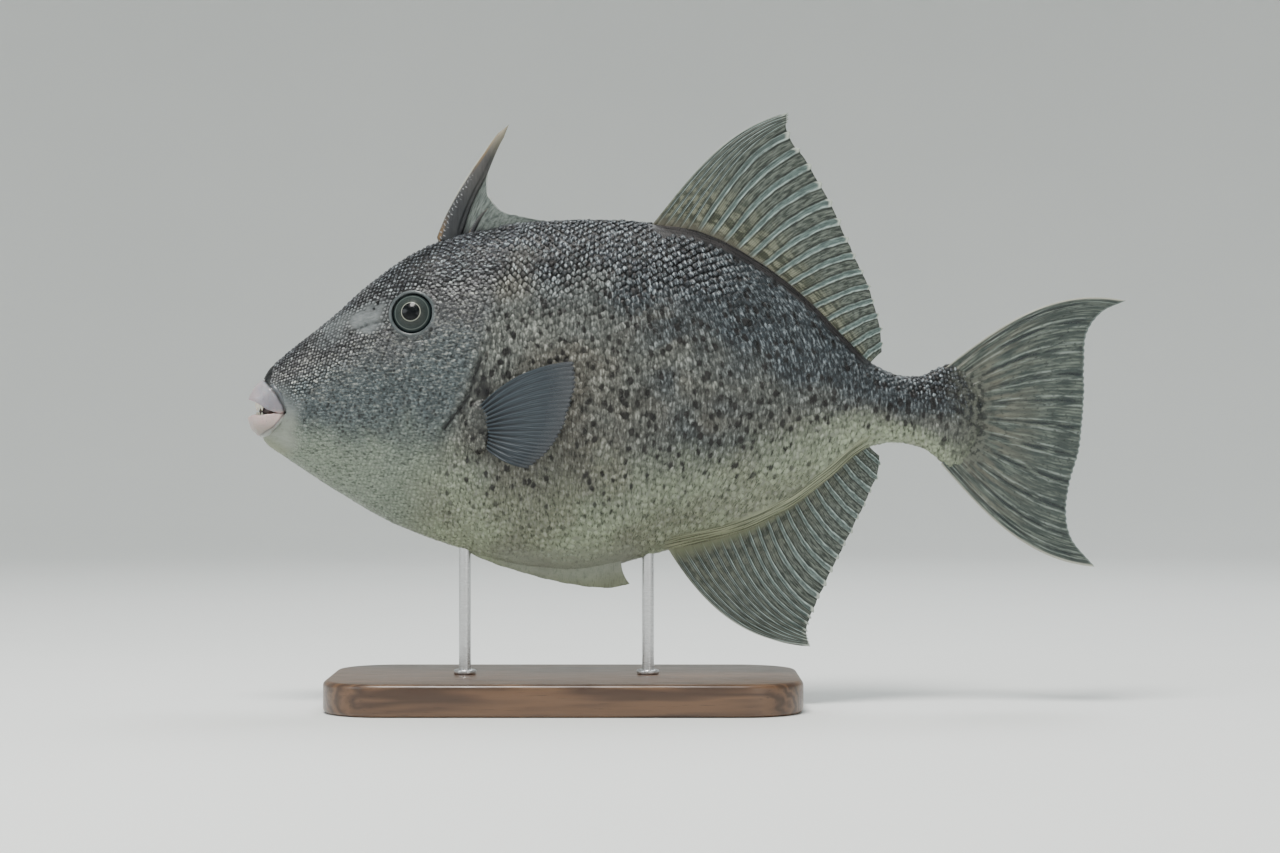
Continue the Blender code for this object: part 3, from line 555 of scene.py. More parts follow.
def marks_at(places):
    """What the material has to know about places: name and value for each of them."""
    x, z = places[:, 0], places[:, 2]
    back = np.interp(x, outline_x, outline_back)
    belly = np.interp(x, outline_x, outline_belly)
    up = np.clip((z - belly) / np.maximum(back - belly, 0.004), 0, 1)
    level = np.interp(x, DARK_BACK_X, DARK_BACK_LEVEL)
    shade = ramp(up + 0.06 * steady_noise(places, 0.014, 5), level - 0.17, level + 0.10)
    for middle_x, middle_z, reach, height in SADDLES:
        blot = hill(np.hypot((x - middle_x) / reach, (z - middle_z) / height), 1.0)
        shade = np.maximum(shade, 0.90 * blot * ramp(steady_noise(places, 0.009, 6), -1.1, 0.5))
    gill_line = from_line(places, [(-0.088, 0.225), (-0.100, 0.180), (-0.113, 0.145), (-0.125, 0.075)])
    face = 1 - ramp(gill_line, -blend(0.030, 0.008, ramp(up, 0.15, 0.45)), 0.004)
    patchy = steady_noise(places, 0.006, 12)
    off_x, off_z = x - BARE_PATCH[0], z - BARE_PATCH[1]
    patch = np.hypot((0.87 * off_x + 0.50 * off_z) / 0.0128, (0.87 * off_z - 0.50 * off_x) / 0.0062)
    bare = (1 - ramp(patch + 0.25 * patchy, 0.55, 1.30)) * 0.85
    bare = np.maximum(bare, 0.8 * (1 - ramp(from_eye(places)[0], EYE_RADIUS + 0.0008, EYE_RADIUS + 0.0022)))
    off_x, off_z = x + 0.1742, z - 0.1893
    band = np.hypot((0.76 * off_x + 0.65 * off_z) / 0.0150, (0.76 * off_z - 0.65 * off_x) / 0.0056)
    bare = np.maximum(bare, 0.58 * (1 - ramp(band + 0.2 * patchy, 0.4, 1.2)))
    keel = ramp(x - SNOUT_X, 0.110, 0.135) * (1 - ramp(x - SNOUT_X, 0.186, 0.204))
    bare = np.maximum(bare, 0.75 * keel * (1 - ramp(up + 0.01 * patchy, 0.015, 0.095)))
    lips = np.hypot(x - LIPS_MIDDLE[0], (z - LIPS_MIDDLE[1]) * 0.9)
    bare = np.maximum(bare, 0.8 * (1 - ramp(lips + 0.0012 * patchy, 0.0095, 0.0185)))
    chin = np.hypot((x + 0.2040) / 0.0100, (z - 0.1325) / 0.0085)
    bare = np.maximum(bare, 1 - ramp(chin, 0.5, 1.4))
    # crease: painted shade where shade falls, in the gill slits, along the lip and chin lines, in the groove before the
    # eye, in the nostrils, in the recess at the foot of the spine, in the hollow behind the gill cover and around the
    # root of the side fin. No scales grow where it is strong.
    crease = 0.95 * hill(from_line(places, GILL_SLIT), 0.0009)
    crease = np.maximum(crease, 0.85 * hill(from_line(places, LIP_LINE), 0.0007))
    crease = np.maximum(crease, 0.45 * hill(from_line(places, CHIN_LINE), 0.0004))
    crease = np.maximum(crease, 0.8 * hill(from_line(places, EYE_GROOVE), 0.0005))
    for nostril in NOSTRILS:
        crease = np.maximum(crease, hill(np.hypot(x - nostril[0], z - nostril[1]), 0.0010))
    recess = hill(np.hypot((x - SPINE_RECESS[0]) / 0.0120, (z - SPINE_RECESS[1]) / 0.0032), 1.0)
    hollow = hill(np.hypot((x + 0.1005) / 0.0050, (z - 0.1570) / 0.0080), 1.0)
    crease = np.maximum(crease, np.maximum(0.8 * recess, 0.85 * hollow))
    side_root = hill(np.hypot((x + 0.1015) / 0.0072, (z - 0.1440) / 0.0105), 1.0)
    crease = np.maximum(crease, 0.58 * side_root)
    beaded = ramp(up, 0.72, 0.88) * (1 - ramp(x, 0.000, 0.040))
    face_level = np.interp(x, [-0.20, -0.165, -0.130], [0.56, 0.70, 0.86])
    beaded = np.maximum(beaded, face * ramp(up, face_level - 0.13, face_level + 0.10))
    beaded = np.maximum(beaded, 0.8 * ramp(x, 0.100, 0.118) * ramp(up, 0.45, 0.80))
    fold = np.zeros(len(x))
    from_edge = np.minimum(back - z, z - belly + 0.009 * keel)
    for (start, end, width), edge in zip(FOLDS.values(), (back - z, z - belly)):
        inside = ramp(x - SNOUT_X, start, start + 0.008) * (1 - ramp(x - SNOUT_X, end - 0.006, end + 0.002))
        fold = np.maximum(fold, inside * (1 - ramp(edge, width * 0.60, width * 1.1)))
    return {"up": up, "shade": shade, "face": face, "bare": bare, "crease": crease, "fold": fold,
            "edge": from_edge, "beaded": beaded}


def flow_at(places):
    """Places warped so that the streaks of the hide, which bow with the tail, run along Z."""
    x, z = places[:, 0], places[:, 2]
    bow = 5.0 * ramp(x, -0.06, 0.03)
    return np.column_stack([x + bow * (z - 0.150) ** 2, places[:, 1], z])


for mark, values in marks_at(places_of(skin)).items():
    put_values(skin, mark, values)
put_values(skin, "root", places_of(skin))
put_values(skin, "flow", flow_at(places_of(skin)))
put_values(skin, "tone", np.zeros(len(skin.data.vertices)))
# rim 1 gives the skin between the scales the painted shade of a plate's edge.
put_values(skin, "rim", np.ones(len(skin.data.vertices)))

# %% [markdown]
# ## The colour of the hide
# One node group paints both the skin and the scales. It starts from the pale belly and the warm grey
# flank, lays the dark back and the blue-grey face over them, breaks them up with flecks, and adds the
# small dark spots. Noise and cell patterns are read at the root of each scale, so that a scale has one
# colour and the pattern looks laid in tiles, as it does on the fish. It also paints light and shade: a
# painted highlight on the top of each scale, painted shade at its edge and between the scales, and
# painted shade in the creases, the slits and the nostrils.

# %% Node group: root of the tail
tail_root, given, result = new_group("tail_root", [("Place", "Vector", None)], [("Color", "Color")])
blots = step(tail_root, noise(tail_root, stretched(tail_root, given["Place"], (330, 330, 330)), 1.0, 3.0, 0.6), 0.40, 0.58)
tail_root.links.new(mix(tail_root, blots, (0.016, 0.018, 0.017), (0.094, 0.100, 0.082)), result["Color"])
print("the root of the tail uses", len(tail_root.nodes), "nodes")

# %% Node group: fish markings
markings, given, result = new_group(
    "fish_markings",
    [("Place", "Vector", None), ("Root", "Vector", None), ("Up", "Float", 0.5), ("Shade", "Float", 0.0),
     ("Face", "Float", 0.0), ("Bare", "Float", 0.0), ("Crease", "Float", 0.0), ("Fold", "Float", 0.0),
     ("Edge", "Float", 0.0), ("Tone", "Float", 0.0), ("Rim", "Float", 0.0), ("Beaded", "Float", 0.0),
     ("Flow", "Vector", None)],
    [("Color", "Color"), ("Roughness", "Float")],
)
tree = markings
place, root = given["Place"], given["Root"]
axes = tree.nodes.new("ShaderNodeSeparateXYZ")
tree.links.new(place, axes.inputs["Vector"])
wander = noise(tree, root, 55.0, 2.0)
height = maths(tree, "ADD", given["Up"], maths(tree, "MULTIPLY", maths(tree, "SUBTRACT", wander, 0.5), 0.25))
height = maths(tree, "SUBTRACT", height, maths(tree, "MULTIPLY", step(tree, axes.outputs["X"], 0.00, 0.08, 0.0, 0.08), step(tree, axes.outputs["X"], 0.12, 0.09)))
flank = mix(tree, step(tree, height, 0.06, 0.40), (0.286, 0.330, 0.226), (0.090, 0.096, 0.087))
warm = step(tree, noise(tree, root, 24.0, 2.0), 0.45, 0.65)
flank = mix(tree, maths(tree, "MULTIPLY", warm, 0.45), flank, (0.100, 0.084, 0.064))
face = mix(tree, step(tree, height, 0.16, 0.46), (0.205, 0.243, 0.190), (0.068, 0.085, 0.090))
face = mix(tree, step(tree, height, 0.52, 0.82), face, (0.076, 0.074, 0.077))
colour = mix(tree, given["Face"], flank, face)
back_colour = mix(tree, given["Beaded"], (0.020, 0.026, 0.032), (0.011, 0.012, 0.016))
colour = mix(tree, maths(tree, "MULTIPLY", given["Shade"], 0.96), colour, back_colour)
flank_streaks = noise(tree, stretched(tree, given["Flow"], (950, 700, 300)), 1.0, 3.0, 0.65)
snout_streaks = noise(tree, stretched(tree, place, (340, 700, 1000), (0, 0.66, 0)), 1.0, 3.0, 0.65)
streaks = mix(tree, given["Face"], flank_streaks, snout_streaks)
pale = step(tree, streaks, 0.50, 0.66)
pale_share = step(tree, given["Face"], 0.0, 1.0, 0.50, step(tree, height, 0.40, 0.65, 0.25, 0.50))
pale_colour = mix(tree, given["Shade"], (0.36, 0.365, 0.33), (0.285, 0.325, 0.345))
colour = mix(tree, maths(tree, "MULTIPLY", pale, pale_share), colour, pale_colour)
dark = step(tree, streaks, 0.48, 0.34)
colour = mix(tree, maths(tree, "MULTIPLY", dark, 0.66), colour, (0.013, 0.014, 0.014))
moved = add(tree, "VectorMath", "Vector", {"operation": "MULTIPLY_ADD"}, _0=given["Flow"], _1=(0.95, 0.80, 0.62))
tree.links.new(add(tree, "VectorMath", "Vector", {"operation": "SCALE"}, _0=root, Scale=0.20), moved.node.inputs[2])
spot_cells = add(tree, "TexVoronoi", "Distance", Vector=moved, Scale=196.0, Randomness=0.85)
spot_size = maths(tree, "MULTIPLY", step(tree, wander, 0.25, 0.60), step(tree, given["Up"], 0.10, 0.45, 0.06, 0.16))
spot_far = maths(tree, "ADD", maths(tree, "SUBTRACT", spot_cells, spot_size), maths(tree, "MULTIPLY", maths(tree, "SUBTRACT", streaks, 0.5), 0.35))
spots = step(tree, spot_far, 0.32, 0.08)
spots = maths(tree, "MULTIPLY", spots, maths(tree, "SUBTRACT", 1.0, given["Face"], True))
spots = maths(tree, "MULTIPLY", spots, step(tree, given["Up"], 0.03, 0.24, 0.25, 1.0))
grain_cells = add(tree, "TexVoronoi", "Distance", Vector=place, Scale=400.0)
grain = maths(tree, "MULTIPLY", step(tree, grain_cells, 0.36, 0.22), given["Face"])
grain = maths(tree, "MULTIPLY", grain, step(tree, height, 0.12, 0.40, 0.15, 0.62))
spotted = maths(tree, "ADD", maths(tree, "MULTIPLY", spots, 0.90), grain, True)
colour = mix(tree, spotted, colour, (0.008, 0.007, 0.007))
bare_grain = noise(tree, stretched(tree, place, (260, 420, 900), (0, 0.62, 0)), 1.0, 4.0, 0.65)
bare_colour = mix(tree, step(tree, bare_grain, 0.3, 0.7), (0.125, 0.138, 0.143), (0.225, 0.245, 0.248))
chin = step(tree, given["Up"], 0.55, 0.30)
keel = mix(tree, step(tree, given["Edge"], 0.000, 0.009), (0.196, 0.212, 0.142), (0.246, 0.264, 0.228))
keel = mix(tree, step(tree, bare_grain, 0.35, 0.65, 0.0, 0.25), keel, (0.110, 0.122, 0.090))
bare_colour = mix(tree, chin, bare_colour, keel)
colour = mix(tree, maths(tree, "MULTIPLY", given["Bare"], 0.90), colour, bare_colour)
calm = step(tree, given["Up"], 0.50, 0.22)
# Each scale is made a little lighter or darker by its random tone. Then painted light: the top of each plate is painted
# lighter, a painted highlight that is strongest on the beads of the back and the face, and its edge and the skin
# between the plates are painted darker, as painted shade. Bare skin is left without these.
gloss = step(tree, given["Tone"], -1.0, 1.0, step(tree, calm, 0.0, 1.0, 0.60, 0.86), step(tree, calm, 0.0, 1.0, 1.45, 1.13))
bead_top_highlight = step(tree, given["Beaded"], 0.0, 1.0, 1.0, 2.2)
plate_edge_shade = step(tree, given["Beaded"], 0.0, 1.0, 0.74, 0.20)
shadow = step(tree, given["Rim"], 0.10, 1.0, bead_top_highlight, plate_edge_shade)
lit = maths(tree, "MULTIPLY", gloss, shadow)
bare_lit = mix(tree, given["Bare"], add(tree, "CombineColor", _0=lit, _1=lit, _2=lit), (1.0, 1.0, 1.0))
colour = mix(tree, 1.0, colour, bare_lit, "MULTIPLY")
down_fold = maths(tree, "MULTIPLY", given["Edge"], 1500.0)
fold_place = add(tree, "CombineXYZ", X=down_fold, Y=maths(tree, "MULTIPLY", axes.outputs["X"], 45.0))
fold_lines = step(tree, noise(tree, fold_place, 1.0, 2.0, 0.5), 0.38, 0.62)
belly_fold = mix(tree, fold_lines, (0.080, 0.088, 0.056), (0.290, 0.310, 0.210))
back_fold = mix(tree, fold_lines, (0.007, 0.007, 0.008), (0.036, 0.033, 0.034))
colour = mix(tree, given["Fold"], colour, mix(tree, step(tree, given["Up"], 0.4, 0.6), belly_fold, back_fold))
# Painted shade: the creases are painted near black, and each nostril is a dark dot of painted shade.
colour = mix(tree, given["Crease"], colour, (0.005, 0.005, 0.007))
for (nostril_x, nostril_z), radius in zip(NOSTRILS, (0.0005, 0.0009)):
    middle_x = maths(tree, "SUBTRACT", axes.outputs["X"], nostril_x)
    middle_z = maths(tree, "SUBTRACT", axes.outputs["Z"], nostril_z)
    far = add(tree, "VectorMath", "Value", {"operation": "LENGTH"}, _0=add(tree, "CombineXYZ", X=middle_x, Y=middle_z))
    colour = mix(tree, step(tree, far, radius * 1.4, radius * 0.7, 0.0, 0.92), colour, (0.004, 0.004, 0.005))
tail_share = step(tree, axes.outputs["X"], 0.124, 0.146, 0.0, 0.85)
colour = mix(tree, tail_share, colour, use_group(tree, tail_root, None, Place=place)["Color"])
tree.links.new(colour, result["Color"])
tree.links.new(step(tree, streaks, 0.3, 0.7, 0.42, 0.24), result["Roughness"])
print("the markings use", len(tree.nodes), "nodes")


# %% Hide finish
def hide_material(name, grain_depth):
    """Fish hide: the markings, with their painted shade and highlights, and a fine wet grain."""
    material, tree, inputs = new_material(name, 0.42, Specular_IOR_Level=0.28)
    place = add(tree, "TexCoord", "Object")
    out = use_group(
        tree, markings, None, Place=place, Root=stored(tree, "root", "Vector"), Up=stored(tree, "up"),
        Shade=stored(tree, "shade"), Face=stored(tree, "face"), Bare=stored(tree, "bare"),
        Crease=stored(tree, "crease"), Fold=stored(tree, "fold"), Edge=stored(tree, "edge"), Tone=stored(tree, "tone"),
        Rim=stored(tree, "rim"), Beaded=stored(tree, "beaded"), Flow=stored(tree, "flow", "Vector"),
    )
    tree.links.new(out["Color"], inputs["Base Color"])
    tree.links.new(out["Roughness"], inputs["Roughness"])
    rough = noise(tree, stretched(tree, stored(tree, "flow", "Vector"), (1300, 1000, 500)), 1.0, 3.0)
    bump(tree, inputs, rough, 0.6, grain_depth)
    return material


skin_hide = hide_material("skin_hide", 0.0004)
scale_hide = hide_material("scale_hide", 0.0005)
finish_piece(skin, skin_hide, FLESH)

# %% [markdown]
# ## Scales
# The trunk wears hard diamond-shaped plates in slanting rows, about 3.5 mm apart, and the face much
# finer beads. They lie in rings that lean forward on the face and back on the tail, as the rows do on
# the fish. Along each ring the plates are spaced by their own size, and every second ring is shifted by
# half a plate. A plate is a low dome of thirty faces whose edge is sunk into the skin. Each plate takes
# the size, tilt and colour of its place, with a little chance.

# %% Size and lean of the scales
LEAN_X = [-0.21, -0.15, -0.05, 0.08, 0.15]
LEAN = [0.15, 0.38, 0.10, -0.35, -0.15]
PITCH_X = [-0.215, -0.195, -0.165, -0.135, -0.110, -0.085, -0.030, 0.040, 0.085, 0.115, 0.150]
PITCH_BACK = [0.0014, 0.0016, 0.0019, 0.0023, 0.0026, 0.0033, 0.0038, 0.0036, 0.0030, 0.0024, 0.0021]
PITCH_BELLY = [0.0014, 0.0015, 0.0017, 0.0019, 0.0022, 0.0030, 0.0036, 0.0033, 0.0028, 0.0023, 0.0020]


def pitch_at(x, up):
    """The spacing of the scales at a place."""
    return blend(np.interp(x, PITCH_X, PITCH_BELLY), np.interp(x, PITCH_X, PITCH_BACK), up)


# %% Rings of roots
RING_ANGLES = np.linspace(-math.pi / 2, math.pi / 2, 181)
RING_CROWDING = 0.87
chance = np.random.default_rng(11)


def ring_on_skin(x, lean, side):
    """Places and normals of the skin on one side of the fish, from keel to ridge, in a leaning plane."""
    middle = Vector((x, 0, (np.interp(x, outline_x, outline_back) + np.interp(x, outline_x, outline_belly)) / 2))
    found = []
    for angle in RING_ANGLES:
        rise = math.sin(angle)
        outward = Vector((lean * rise, side * math.cos(angle), rise)).normalized()
        place, normal, _, _ = skin_tree.ray_cast(middle + outward * BEYOND / 2, -outward)
        if place is not None:
            found.append((*place, *normal))
    return np.array(found)


def roots_in_ring(x, side, odd):
    """The roots of one ring of scales: place, normal, pitch and ring spacing, a row each."""
    ring = ring_on_skin(x, np.interp(x, LEAN_X, LEAN), side)
    if len(ring) < 12:
        return np.zeros((0, 8))
    steps = np.linalg.norm(np.diff(ring[:, :3], axis=0), axis=1)
    up = np.linspace(0, 1, len(ring))
    pitch = pitch_at(ring[:, 0], up)
    count = np.concatenate([[0], np.cumsum(steps / (pitch[1:] + pitch[:-1]) * 2)])
    whole = max(int(round(count[-1])), 2)
    wanted = (np.arange(whole) + (0.28 if odd else 0.72)) / whole * count[-1]
    wanted = np.clip(wanted + chance.uniform(-1, 1, whole) * blend(0.30, 0.12, np.linspace(0, 1, whole) ** 2), 0, count[-1])
    rows = np.column_stack([np.interp(wanted, count, column) for column in np.column_stack([ring, pitch]).T])
    spacing = RING_CROWDING * np.interp(x, PITCH_X, np.add(PITCH_BACK, PITCH_BELLY) / 2)
    drift = chance.uniform(-1, 1, whole) * blend(0.24, 0.08, np.linspace(0, 1, whole) ** 2) * spacing
    rows[:, 0] += drift * (1 - rows[:, 3] ** 2)
    rows[:, 1] -= drift * rows[:, 3] * rows[:, 4]
    rows[:, 2] -= drift * rows[:, 3] * rows[:, 5]
    return np.column_stack([rows, np.full(whole, spacing)])


rings = []
for side in (-1, 1):
    x, odd = -0.2105, False
    while x < 0.1475:
        rings.append(roots_in_ring(x, side, odd))
        x += RING_CROWDING * np.interp(x, PITCH_X, np.add(PITCH_BACK, PITCH_BELLY) / 2)
        odd = not odd
roots = np.concatenate(rings)
print("the fish has room for", len(roots), "scales")


# %% Where no scale grows
def is_scaly(places):
    """False on the eyes, the bare patch, the lips, the nostrils and the gill slits."""
    marks = marks_at(places)
    clear = (marks["bare"] < 0.66) & (marks["crease"] < 0.62) & (marks["fold"] < 0.5)
    clear &= from_eye(places)[0] > EYE_RADIUS + 0.0016
    clear &= np.abs(from_line(places, GILL_SLIT)) > 0.0011
    lips = np.hypot(places[:, 0] - LIPS_MIDDLE[0], (places[:, 2] - LIPS_MIDDLE[1]) * 0.9)
    return clear & (lips > 0.0112)


roots = roots[is_scaly(roots[:, :3])]
print(len(roots), "scales are left around the eyes, lips and gills")

# %% One plate, and many
PLATE_SIDES = 8
angles = np.arange(PLATE_SIDES) * 2 * math.pi / PLATE_SIDES
DIAMOND = np.where(np.arange(PLATE_SIDES) % 2 == 0, 1.0, 0.80)
INNER = 0.72


def plate_faces():
    """The faces of one dome: a ring of squares, a fan on top and a fan below."""
    faces = []
    top, foot = 2 * PLATE_SIDES, 2 * PLATE_SIDES + 1
    for n in range(PLATE_SIDES):
        after = (n + 1) % PLATE_SIDES
        faces.append((n, after, PLATE_SIDES + n))
        faces.append((after, PLATE_SIDES + after, PLATE_SIDES + n))
        faces.append((PLATE_SIDES + n, PLATE_SIDES + after, top))
        faces.append((after, n, foot))
    return np.array(faces)


def cover_with_plates(name, roots):
    """One piece with a plate at each root."""
    place, normal = roots[:, :3], roots[:, 3:6]
    normal = normal / np.linalg.norm(normal, axis=1)[:, None]
    along = np.array([1.0, 0, 0]) - normal * normal[:, :1]
    slope = np.linalg.norm(along, axis=1)
    along = along / slope[:, None]
    across = np.cross(normal, along)
    marks = marks_at(place)
    snout_top = marks["face"] * marks["beaded"]
    turn = (chance.normal(0, 0.14, len(roots)) - 0.62 * snout_top * np.sign(normal[:, 1]))[:, None]
    along, across = along * np.cos(turn) + across * np.sin(turn), across * np.cos(turn) - along * np.sin(turn)
    lips = np.hypot(place[:, 0] - LIPS_MIDDLE[0], (place[:, 2] - LIPS_MIDDLE[1]) * 0.9)
    size = chance.uniform(0.86, 1.12, len(roots)) * blend(0.62, 1.0, ramp(lips, 0.0112, 0.0190))
    fading = ramp(place[:, 0], 0.128, 0.148)
    size = size * blend(1.0, 0.66, fading)
    half_long = size * roots[:, 7] / np.clip(slope, 0.6, 1) * blend(0.76, 0.64, marks["beaded"]) * blend(1.0, 1.18, snout_top)
    half_wide = size * roots[:, 6] * blend(0.66, 0.58, marks["beaded"]) * blend(1.0, 0.84, snout_top)
    bead = blend(0.060, 0.18, marks["beaded"]) * blend(1.0, 1.15, marks["face"]) * ramp(marks["up"], -0.25, 0.25)
    height = bead * roots[:, 6] * chance.uniform(0.7, 1.35, len(roots)) * blend(1.0, 0.45, fading)
    sunk = np.full(len(roots), -0.00022)
    shingle = chance.normal(0.06, 0.05, len(roots)) * roots[:, 6]
    cant = chance.normal(0, 0.05, len(roots)) * roots[:, 6]
    corners = []
    rims = []
    # rim_value runs from 0 at a plate's top to 1 at its edge: the hide paints a highlight on the top and shade at the
    # edge from it.
    for share, level, rim_value in ((1.0, sunk, 1.0), (INNER, height * 0.72, 0.45)):
        for angle, reach in zip(angles, DIAMOND):
            out = math.cos(angle) * reach * share
            lift = level + (shingle * out + cant * math.sin(angle) * reach * share) * (level > 0)
            corners.append(
                place + along * (half_long * out)[:, None]
                + across * (half_wide * math.sin(angle) * reach * share)[:, None] + normal * lift[:, None]
            )
            rims.append(rim_value)
    corners.append(place + along * (half_long * 0.10)[:, None] + normal * height[:, None])
    corners.append(place + normal * (sunk - 0.00025)[:, None])
    rims += [0.0, 1.0]
    each = len(corners)
    everything = np.stack(corners, axis=1).reshape(-1, 3)
    faces = (plate_faces()[None] + each * np.arange(len(roots))[:, None, None]).reshape(-1, 3)
    mesh = bpy.data.meshes.new(name)
    mesh.from_pydata(everything, [], faces)
    piece = bpy.data.objects.new(name, mesh)
    bpy.context.scene.collection.objects.link(piece)
    mesh.shade_smooth()
    for mark, values in marks.items():
        put_values(piece, mark, np.repeat(values, each))
    put_values(piece, "root", np.repeat(place, each, axis=0))
    put_values(piece, "flow", flow_at(everything))
    put_values(piece, "tone", np.repeat(np.clip(chance.normal(0, 0.5, len(roots)), -1, 1), each))
    put_values(piece, "rim", np.tile(rims, len(roots)))
    unwrap_plates(piece, roots, each)
    return piece


def unwrap_plates(piece, roots, each):
    """Lays each plate as a small patch at its root's place on the unrolled skin."""
    patch = 0.0015
    x, y, z = roots[:, 0], roots[:, 1], roots[:, 2]
    up = marks_at(roots[:, :3])["up"]
    u = 0.02 + 0.96 * (x - x.min()) / (x.max() - x.min())
    v = np.where(y < 0, 0.02 + 0.46 * up, 0.98 - 0.46 * up)
    spread = np.array([(math.cos(a) * share, math.sin(a) * share) for share in (1.0, INNER) for a in angles] + [(0, 0)] * 2)
    spots = (np.column_stack([u, v])[:, None] + spread[None] * patch).reshape(-1, 2)
    layer = piece.data.uv_layers.new(name="OFBake")
    corners = np.empty(len(piece.data.loops), np.int32)
    piece.data.loops.foreach_get("vertex_index", corners)
    layer.data.foreach_set("uv", spots[corners].astype(np.float32).ravel())


gill_side = from_line(roots[:, :3], [(-0.085, 0.26), (-0.100, 0.18), (-0.113, 0.145), (-0.125, 0.06)])
head_roots = roots[gill_side < 0]
body_roots = roots[gill_side >= 0]
for name, chosen in (
    ("left_head_scales", head_roots[head_roots[:, 1] < 0]),
    ("right_head_scales", head_roots[head_roots[:, 1] >= 0]),
    ("left_scales", body_roots[body_roots[:, 1] < 0]),
    ("right_scales", body_roots[body_roots[:, 1] >= 0]),
):
    finish_piece(cover_with_plates(name, chosen), scale_hide)

# %% [markdown]
# ## Eyes
# A triggerfish has a large, flat, clear eye: a black pupil inside a thin silver ring, a grey-green iris
# with fine streaks, and a dark band where it meets the lids. The eyeball is a sphere whose poles point
# out of the head, so that its rings follow the iris. It is pressed flat like the solid it stands for.

# %% Eyeballs
EYE_DEPTH = 0.0064
EYE_RINGS = 48
EYE_SEGMENTS = 72


def eye_frame(side):
    """Turns an upright piece so that its top looks out of the head at the eye's place."""
    axis = Vector(EYE_AXIS * [1, -side, 1])
    middle = Vector(EYE_MIDDLE * [1, -side, 1])
    return Matrix.Translation(middle) @ axis.to_track_quat("Z", "Y").to_matrix().to_4x4()


def eyeball(name, side):
    bpy.ops.mesh.primitive_uv_sphere_add(segments=EYE_SEGMENTS, ring_count=EYE_RINGS, radius=1)
    ball = new_piece(name)
    round_places = places_of(ball)
    reach = np.linalg.norm(round_places[:, :2], axis=1)
    level = round_places[:, 2]
    bulge = 0.22 * hill(reach, 0.60) * (level > 0)
    shaped = np.column_stack([round_places[:, :2] * EYE_RADIUS, (level + bulge) * EYE_DEPTH])
    put_places(ball, shaped)
    put_values(ball, "reach", reach)
    ball.data.transform(eye_frame(side))
    ball.data.shade_smooth()
    return ball


# %% Eye finish
eye_glass, tree, inputs = new_material("eye_glass", 0.22, Coat_Weight=0.60, Coat_Roughness=0.02, Coat_IOR=1.28)
inputs["Specular IOR Level"].default_value = 0.08
reach = stored(tree, "reach")
place = add(tree, "TexCoord", "Object")
streak = noise(tree, place, 900.0, 4.0, 0.7)
iris = mix(tree, streak, (0.010, 0.014, 0.014), (0.050, 0.058, 0.053))
iris = mix(tree, step(tree, reach, 0.50, 0.86), iris, (0.026, 0.036, 0.035))
pale_line = maths(tree, "MULTIPLY", step(tree, reach, 0.775, 0.80), step(tree, reach, 0.83, 0.805))
iris = mix(tree, maths(tree, "MULTIPLY", pale_line, 0.75), iris, (0.12, 0.14, 0.13))
iris = mix(tree, step(tree, reach, 0.835, 0.90), iris, (0.012, 0.018, 0.020))
silver = maths(tree, "MULTIPLY", step(tree, reach, 0.425, 0.440), step(tree, reach, 0.480, 0.463))
iris = mix(tree, silver, iris, (0.24, 0.25, 0.21))
tree.links.new(mix(tree, step(tree, reach, 0.435, 0.420), iris, (0.003, 0.004, 0.005)), inputs["Base Color"])
bump(tree, inputs, streak, 0.4, 0.0003)

for word, side in (("left", -1), ("right", 1)):
    finish_piece(eyeball(f"eyeball_{word}", side), eye_glass, [f"eye_{word}"])

# %% [markdown]
# A soft dark ring of skin holds each eye and closes the socket around it. It is a thin torus laid in
# the plane where the eyeball leaves the head.

# %% Eye rims
RIM_LEVEL = 0.0030
rim_skin, tree, inputs = new_material("rim_skin", 0.32, Coat_Weight=0.4, Coat_Roughness=0.15)
place = add(tree, "TexCoord", "Object")
rim_colour = mix(tree, noise(tree, place, 500.0), (0.026, 0.034, 0.038), (0.105, 0.120, 0.124))
tree.links.new(rim_colour, inputs["Base Color"])
bump(tree, inputs, noise(tree, place, 1200.0), 0.3, 0.0003)

for word, side in (("left", -1), ("right", 1)):
    bpy.ops.mesh.primitive_torus_add(
        major_radius=EYE_RADIUS + 0.0005, minor_radius=0.0008, major_segments=96, minor_segments=16,
    )
    ring = new_piece(f"eye_rim_{word}")
    wavy = places_of(ring)
    wavy[:, 2] += RIM_LEVEL + 0.00025 * steady_noise(wavy, 0.008, 8)
    put_places(ring, wavy)
    ring.data.transform(eye_frame(side))
    ring.data.shade_smooth()
    finish_piece(ring, rim_skin)

# %% [markdown]
# ## Lips and teeth
# The lips are thick, smooth and fleshy, with a small gap between them that shows the tips of strong
# white teeth. Each lip starts as a ball in the snout's end. Its outline in the side view is stamped out,
# the mouth is hollowed, and it is cast again as a fine net and smoothed until it looks soft.

# %% Lips
UPPER_LIP = [
    (0.0205, -0.0012), (0.0150, -0.0010), (0.0105, 0.0004), (0.0078, 0.0022), (0.0056, 0.0034),
    (0.0020, 0.0050), (-0.0040, 0.0056), (-0.0080, 0.0100), (-0.0040, 0.0200), (0.0060, 0.0215),
    (0.0098, 0.0168), (0.0135, 0.0128), (0.0172, 0.0082), (0.0198, 0.0034),
]
LOWER_LIP = [
    (0.0205, -0.0016), (0.0150, -0.0019), (0.0095, -0.0024), (0.0055, -0.0028), (0.0030, -0.0026),
    (0.0010, -0.0034), (-0.0040, -0.0056), (-0.0080, -0.0120), (-0.0040, -0.0200), (0.0050, -0.0185),
    (0.0100, -0.0140), (0.0150, -0.0085), (0.0190, -0.0040),
]
UPPER_BALL = ((0.0130, 0.0030), (0.0132, 0.0109, 0.0128))
LOWER_BALL = ((0.0120, -0.0040), (0.0122, 0.0103, 0.0108))
MOUTH_BALL = ((0.0098, -0.0004), (0.0068, 0.0060, 0.0046))
